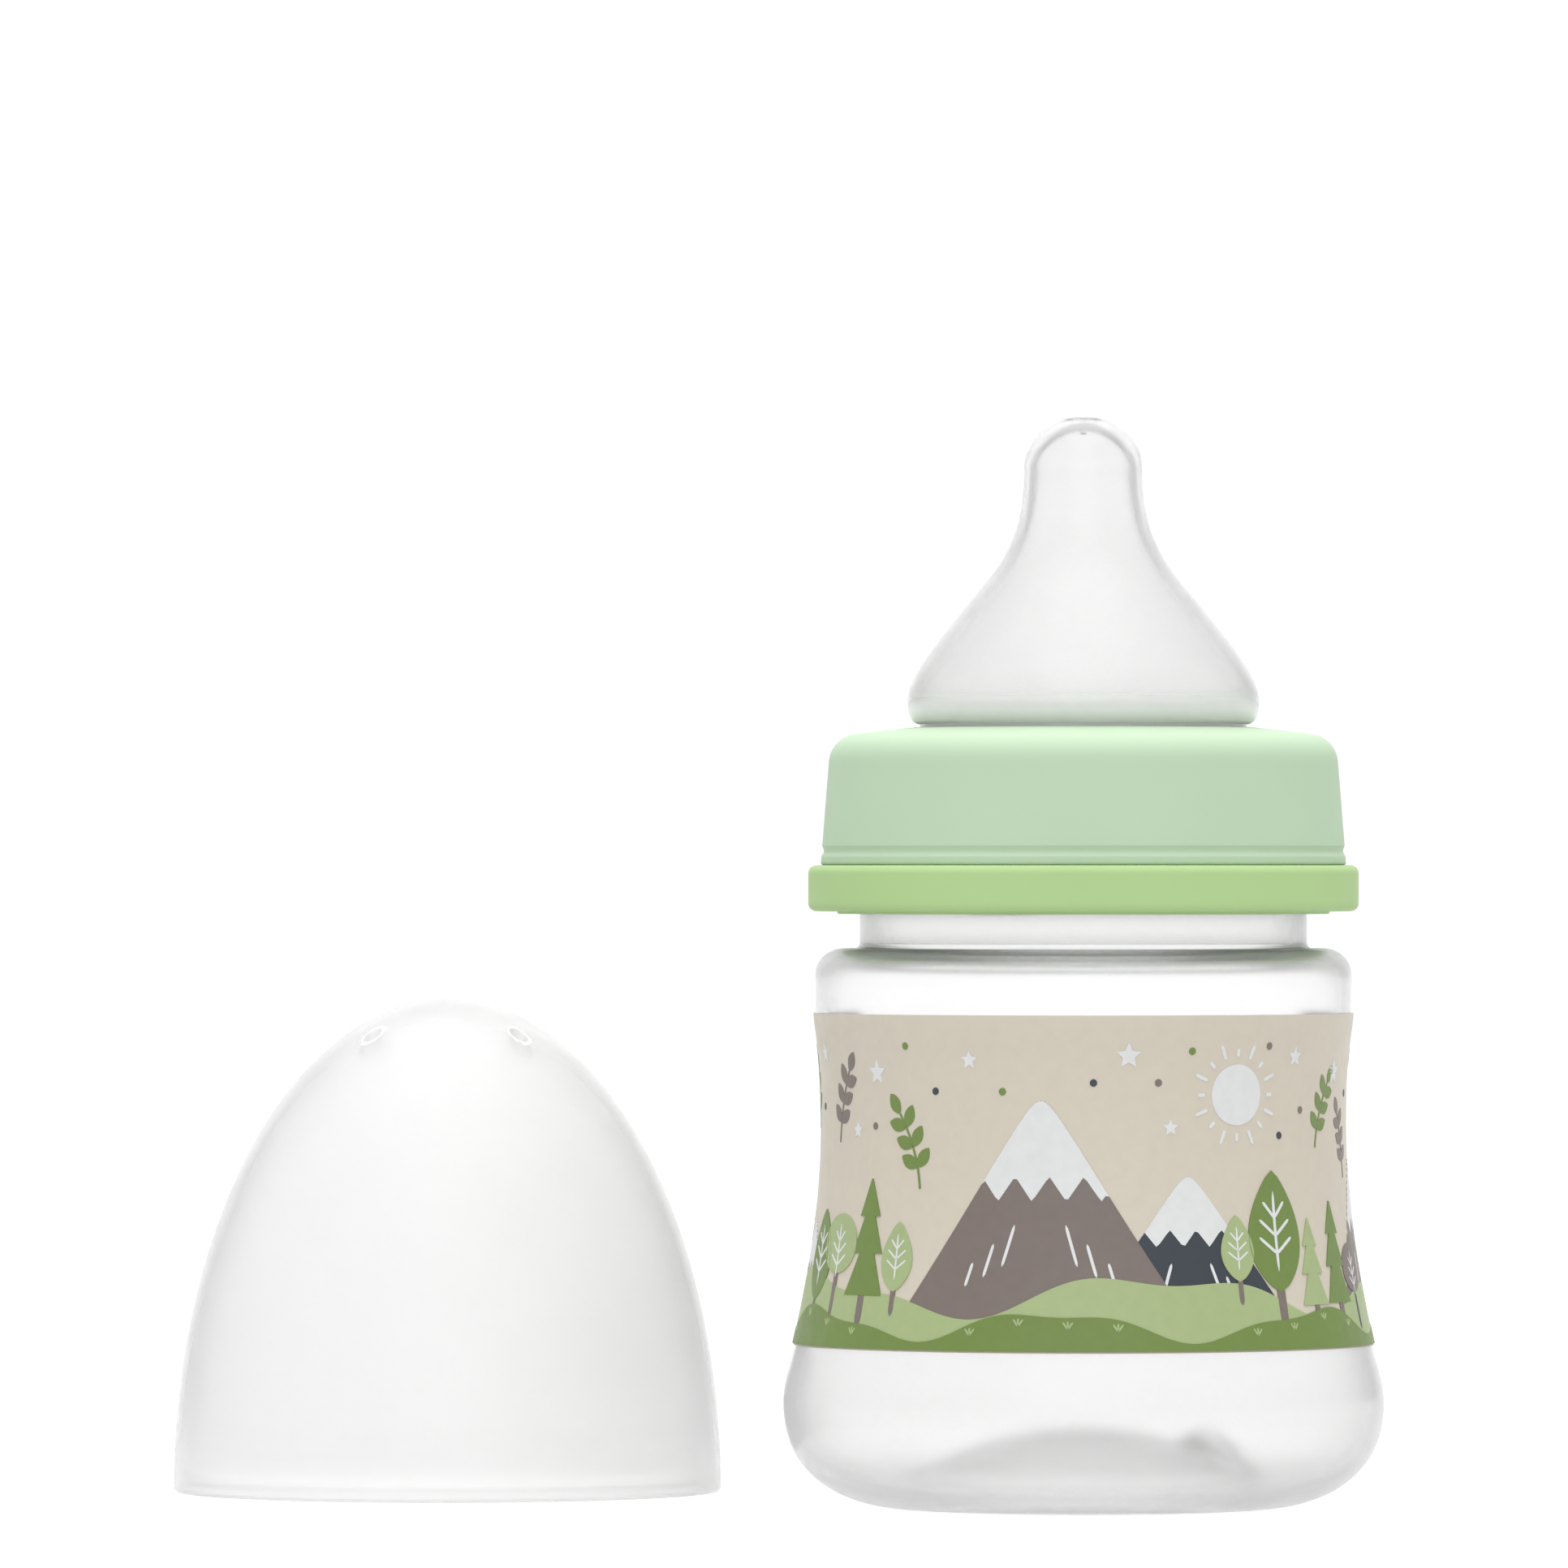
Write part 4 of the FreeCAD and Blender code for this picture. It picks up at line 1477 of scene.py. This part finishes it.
@dataclass
class ScrewCollar:
    """The two-colour collar: mint skirt with a crowned top and a thread in it, lime ring on its foot."""

    bore_r: float = 26.8
    spigot_r: float = 28.2
    spigot_z: float = 68.6
    ring_bottom_z: float = 67.4
    ring_top_z: float = 72.6
    skirt_foot_r: float = 29.75
    skirt_top_r: float = 28.6
    edge_z: float = 87.15
    plate_z: float = 86.2
    opening_r: float = 18.8
    opening_z: float = 88.25
    corner_round: float = 3.4
    inner_round: float = 1.2
    snap_z: float = 74.2
    snap_half: float = 0.6
    snap_depth: float = 0.3
    ring_r: float = 31.15
    ring_fit: float = 0.1
    ring_round: float = 0.9
    lip: tuple[float, float] = (26.65, 27.85)
    lip_z: float = 67.1
    segments: int = 240
    thread: Thread = Thread(first_angle=-126, first_z=71.1, turns=2.0)

    def skirt(self, z: float) -> float:
        """The skirt's radius at a height, on a straight flare."""
        share = (z - self.ring_top_z) / (self.edge_z - self.ring_top_z)
        return self.skirt_foot_r - (self.skirt_foot_r - self.skirt_top_r) * share

    def build_collar(self) -> bpy.types.Object:
        """Turns the collar's outline round the axis, with the thread standing in from its bore.

        Returns:
            The piece.
        """
        low, high = self.snap_z - self.snap_half, self.snap_z + self.snap_half
        shell = rounded([
            (self.bore_r, self.spigot_z, 0.2),
            (self.spigot_r, self.spigot_z, 0.2),
            (self.spigot_r, self.ring_top_z, 0),
            (self.skirt_foot_r, self.ring_top_z, self.snap_depth),
            (self.skirt(low), low, 0.25),
            (self.skirt(self.snap_z) - self.snap_depth, self.snap_z, self.snap_half),
            (self.skirt(high), high, 0.25),
            (self.skirt_top_r, self.edge_z, self.corner_round),
            (self.opening_r, self.opening_z, 0.5),
            (self.opening_r, self.plate_z, 0.1),
            (self.bore_r, self.plate_z, self.inner_round),
        ], looped=True, count=11)
        bore = line((self.bore_r, self.plate_z - 1.3), (self.bore_r, self.spigot_z + 0.4), 58)
        profile = held(run(shell, bore), looped=True)
        radii, angles, heights = turned_grid(profile, self.segments)
        on_bore = np.abs(radii - self.bore_r) < 1e-6
        radii -= np.where(on_bore, self.thread.rise(angles, heights), 0)
        surface = Surface.turned(radii, angles, heights, looped=True)
        return shown("mint_collar", surface.mesh("mint_collar"), MINT_PLASTIC.material())

    def build_ring(self) -> bpy.types.Object:
        """Turns the ring's outline round the axis: ledge for the cap, bore, seat and lower lip.

        Returns:
            The piece.
        """
        bore = self.spigot_r + self.ring_fit
        seat_z = self.spigot_z - self.ring_fit
        profile = rounded([
            (self.lip[1], self.lip_z, 0.15),
            (self.lip[1], self.ring_bottom_z, 0.15),
            (self.ring_r, self.ring_bottom_z, self.ring_round),
            (self.ring_r, self.ring_top_z, self.ring_round),
            (bore, self.ring_top_z, 0),
            (bore, seat_z, 0),
            (self.lip[0], seat_z, 0.1),
            (self.lip[0], self.lip_z, 0.15),
        ], looped=True)
        surface = Surface.turned(*turned_grid(held(profile, looped=True), self.segments), looped=True)
        return shown("lime_ring", surface.mesh("lime_ring"), LIME_PLASTIC.material())


@dataclass
class DomeCap:
    """The milky dome cap: a half-egg shell with a snap bead inside its rim and vents near its top."""

    place: tuple[float, float]
    height: float = 57.2
    radius: float = 31.75
    wall: float = 1.7
    rim_chamfer: float = 0.4
    bead_z: float = 1.6
    bead_half: float = 0.6
    bead_depth: float = 0.3
    vents: int = 4
    vent_r: float = 1.1
    vent_reach: float = 11.9
    first_vent: float = 45.0
    vent_clear: float = 0.35
    vent_edge: float = 1.02
    vent_halo: float = 1.3
    segments: int = 216

    @staticmethod
    def egg(radius: float, height: float, low: float, count: int) -> Array:
        """The half-ellipse r = R sin t, z = H cos t, from a low height up to the pole.

        Args:
            radius: R, at the foot.
            height: H, at the pole.
            low: height of the first point.
            count: how many points.

        Returns:
            The points, count x 2.
        """
        t = np.linspace(math.acos(low / height), 0, count)
        points = np.stack([radius * np.sin(t), height * np.cos(t)], 1)
        points[-1, 0] = 0.0
        return points

    def build(self) -> bpy.types.Object:
        """Turns the shell's outline about the cap's own axis, drills the vents and moves it in place.

        Returns:
            The piece.
        """
        within = self.radius - self.wall
        bead_top = self.bead_z + self.bead_half
        inside = self.egg(within, self.height - self.wall, bead_top, 96)[::-1]
        outside = self.egg(self.radius, self.height, self.rim_chamfer, 104)
        rim = rounded([
            tuple(inside[-1]) + (0,),
            (within - self.bead_depth, self.bead_z, 0.4),
            (within, self.bead_z - self.bead_half, 0.2),
            (within, 0, 0.2),
            (outside[0, 0] - self.rim_chamfer, 0, 0.25),
            tuple(outside[0]) + (0,),
        ])
        profile = held(run(inside, rim, outside), looped=False)
        shell = Surface.turned(*turned_grid(profile, self.segments), looped=False).moved(*self.place)
        pin = Surface.pin(self.vent_r, self.height / 2, self.height, 40)
        angles = np.radians(self.first_vent + np.arange(self.vents) * 360 / self.vents)
        axes = self.place + self.vent_reach * np.stack([np.cos(angles), np.sin(angles)], 1)
        drills = Surface.joined([pin.moved(*axis) for axis in axes])
        mesh = drilled(shell.mesh("milky_cap"), drills.mesh("vents"))
        self.whiten_vents(mesh, axes)
        return shown("milky_cap", mesh, MILKY_PLASTIC.material())

    def whiten_vents(self, mesh: bpy.types.Mesh, axes: Array) -> None:
        """Writes the share of clearness that each vertex keeps, which is low on the cut walls of the vents.

        The share eases from vent_clear at vent_edge times the vent's radius to 1 at vent_halo times it.

        Args:
            mesh: the drilled cap.
            axes: where the vents' axes stand, as (x, y) in millimetres.
        """
        places = np.empty(len(mesh.vertices) * 3, dtype=np.float32)
        mesh.vertices.foreach_get("co", places)
        flat = places.reshape(-1, 1, 3)[:, :, :2] / MM - axes
        away = np.hypot(flat[..., 0], flat[..., 1]).min(1) / self.vent_r
        outwards = smooth((away - self.vent_edge) / (self.vent_halo - self.vent_edge))
        share = self.vent_clear + (1 - self.vent_clear) * outwards
        mesh.attributes.new(MILKY_PLASTIC.clear_share, "FLOAT", "POINT").data.foreach_set("value", share)


@dataclass
class Studio:
    """The pale floor, the soft light and the camera, in metres and watts.

    Front, back, sides and zenith are the strengths of the room's light from there. The mirrored ones
    are what reflections and clear pieces see instead.
    """

    camera_place: tuple[float, float, float] = (-0.0339, -1.608, 0.0726)
    camera_target: tuple[float, float, float] = (-0.0339, 0.0, 0.0818)
    lens: float = 326.0
    sensor: float = 36.0
    clip: tuple[float, float] = (0.1, 50.0)
    floor_rings: tuple[float, ...] = (8.0, 2.0, 0.6, 0.2, 0.0)
    floor_drop: float = 0.00002
    floor_shade: float = 0.12
    floor_glow: float = 0.95
    front: float = 0.92
    back: float = 1.14
    sides: float = 0.28
    mirrored_sides: float = 0.54
    zenith: float = 2.7
    mirrored_ceiling: float = 0.5
    lamp: float = 0.8
    lamp_size: float = 1.2
    lamp_place: tuple[float, float, float] = (-0.05, -1.5, 1.5)
    lamp_target: tuple[float, float, float] = (0.0, 0.0, 0.06)
    backdrop: float = 1.02
    bounces: int = 20
    clear_bounces: int = 18
    diffuse_bounces: int = 6

    def floor(self) -> None:
        """A wide disc just under the pieces: radius grows along the rows, angle along the columns."""
        profile = np.stack(np.broadcast_arrays(self.floor_rings, -self.floor_drop), 1) / MM
        mesh = Surface.turned(*turned_grid(profile, 64), looped=False).mesh("floor")
        nodes = FinishNodes("pale_floor")
        nodes.put(Base_Color=(*[self.floor_shade] * 3, 1.0), Roughness=0.7, Specular_IOR_Level=0.1)
        nodes.put(Emission_Color=WHITE_LIGHT, Emission_Strength=self.floor_glow)
        shown("floor", mesh, nodes.material)

    def light(self) -> None:
        """A soft white room, brighter behind and above, with greyer sides that draw the clear edges."""
        world = bpy.data.worlds.new("soft_room")
        world.use_nodes = True
        nodes, links = world.node_tree.nodes, world.node_tree.links
        parts = nodes.new("ShaderNodeSeparateXYZ")
        links.new(nodes.new("ShaderNodeTexCoord").outputs["Generated"], parts.inputs[0])

        def ramp(source: Socket, span: tuple[float, float], first: float, last: float | Socket) -> Socket:
            """Eases from a first to a last value as the source crosses a span.

            Args:
                source: what is measured.
                span: where the change starts and stops.
                first: value before the span.
                last: value after the span, or the socket that gives it.

            Returns:
                The value's socket.
            """
            node = nodes.new("ShaderNodeMapRange")
            node.interpolation_type = "SMOOTHSTEP"
            for name, value in zip(("From Min", "From Max", "To Min", "To Max"), (*span, first, last)):
                if isinstance(value, Socket):
                    links.new(value, node.inputs[name])
                else:
                    node.inputs[name].default_value = value
            links.new(source, node.inputs["Value"])
            return node.outputs["Result"]

        def combined(kind: str, *sources: Socket) -> Socket:
            """One Math node, fed by the sources.

            Args:
                kind: the node's operation.
                sources: what feeds it.

            Returns:
                The result's socket.
            """
            node = nodes.new("ShaderNodeMath")
            node.operation = kind
            for source, socket in zip(sources, node.inputs):
                links.new(source, socket)
            return node.outputs[0]

        rays = nodes.new("ShaderNodeLightPath").outputs
        mirrored = combined("MAXIMUM", rays["Is Glossy Ray"], rays["Is Transmission Ray"])
        width, height = combined("ABSOLUTE", parts.outputs["X"]), parts.outputs["Z"]
        sides = ramp(width, (0.22, 0.62), 1.0, ramp(mirrored, (0, 1), self.sides, self.mirrored_sides))
        depth = ramp(parts.outputs["Y"], (-0.4, 0.4), self.front, self.back)
        zenith = ramp(height, (0.4, 1.0), 0.0, ramp(mirrored, (0, 1), self.zenith, 0.0))
        ceiling = ramp(height, (0.35, 0.75), 1.0, ramp(mirrored, (0, 1), 1.0, self.mirrored_ceiling))
        glow = combined("MULTIPLY", combined("ADD", combined("MULTIPLY", sides, depth), zenith), ceiling)
        seen = nodes.new("ShaderNodeMix")
        links.new(rays["Is Camera Ray"], seen.inputs[0])
        links.new(glow, seen.inputs[2])
        seen.inputs[3].default_value = self.backdrop
        links.new(seen.outputs[0], nodes["Background"].inputs["Strength"])
        nodes["Background"].inputs["Color"].default_value = WHITE_LIGHT
        bpy.context.scene.world = world
        lamp = bpy.data.lights.new("soft_box", "AREA")
        lamp.shape, lamp.size, lamp.energy = "SQUARE", self.lamp_size, self.lamp
        self.aimed(lamp, self.lamp_place, self.lamp_target)
        cycles = bpy.context.scene.cycles
        cycles.max_bounces = self.bounces
        cycles.transmission_bounces = self.clear_bounces
        cycles.diffuse_bounces = self.diffuse_bounces

    @staticmethod
    def aimed(data: bpy.types.ID, place: tuple, target: tuple) -> bpy.types.Object:
        """Puts a lamp or a camera in the scene, pointed at a target.

        Args:
            data: the lamp or the camera.
            place: where it stands, in metres.
            target: the point that it looks at.

        Returns:
            The new object, named as its data is.
        """
        piece = bpy.data.objects.new(data.name, data)
        piece.location = place
        piece.rotation_euler = (Vector(target) - piece.location).to_track_quat("-Z", "Y").to_euler()
        bpy.context.scene.collection.objects.link(piece)
        return piece

    def camera(self) -> None:
        """A level camera with a long lens, as far away as the photograph's perspective says."""
        data = bpy.data.cameras.new("camera")
        data.lens, data.sensor_width = self.lens, self.sensor
        data.clip_start, data.clip_end = self.clip
        bpy.context.scene.camera = self.aimed(data, self.camera_place, self.camera_target)
        bpy.context.scene.view_settings.view_transform = "Standard"

    def build(self) -> None:
        """Sets up floor, light and camera."""
        self.floor()
        self.light()
        self.camera()


def seat(piece: bpy.types.Object, body: str, slot: str, *nodes: str) -> None:
    """Says what a piece moves with and which nodes it stands for, and reports it.

    Args:
        piece: the finished piece.
        body: the body that it moves with.
        slot: the record's material slot; not used.
        nodes: the nodes that it replaces.
    """
    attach(piece, body)
    note = ""
    if nodes:
        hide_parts(*nodes)
        low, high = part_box(nodes[0])
        corners = np.array([tuple(corner) for corner in piece.bound_box])
        off = max(np.abs(corners.min(0) - low).max(), np.abs(corners.max(0) - high).max()) / MM
        note = f", box within {off:.2f} mm of {nodes[0]}"
    log.info("%s: %d faces on %s%s", piece.name, len(piece.data.polygons), body, note)


def main() -> None:
    """Builds every piece in order, seats it on its body and sets up the studio."""
    logging.basicConfig(level=logging.INFO, format="%(name)s: %(message)s")
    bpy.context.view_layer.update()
    body = BottleBody()
    seat(body.build(), "bottle", "clear_plastic", "bottle_body")
    band = PrintedBand(body)
    film, coat = band.build_film()
    seat(film, "bottle", "printed_film", "printed_band")
    for piece in (coat, *band.build_print()):
        seat(piece, "bottle", "printed_film")
    seat(LevelMarks(band).build(), "bottle", "printed_film")
    seat(Teat().build(), "teat", "silicone", "teat")
    collar = ScrewCollar()
    seat(collar.build_collar(), "collar", "mint_plastic", "screw_collar")
    seat(collar.build_ring(), "collar", "lime_plastic", "collar_base_ring")
    low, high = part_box("dome_cap")
    cap_place = ((low.x + high.x) / 2 / MM, (low.y + high.y) / 2 / MM)
    seat(DomeCap(cap_place).build(), "cap", "milky_plastic", "dome_cap")
    Studio().build()


if __name__ == "__main__":
    main()
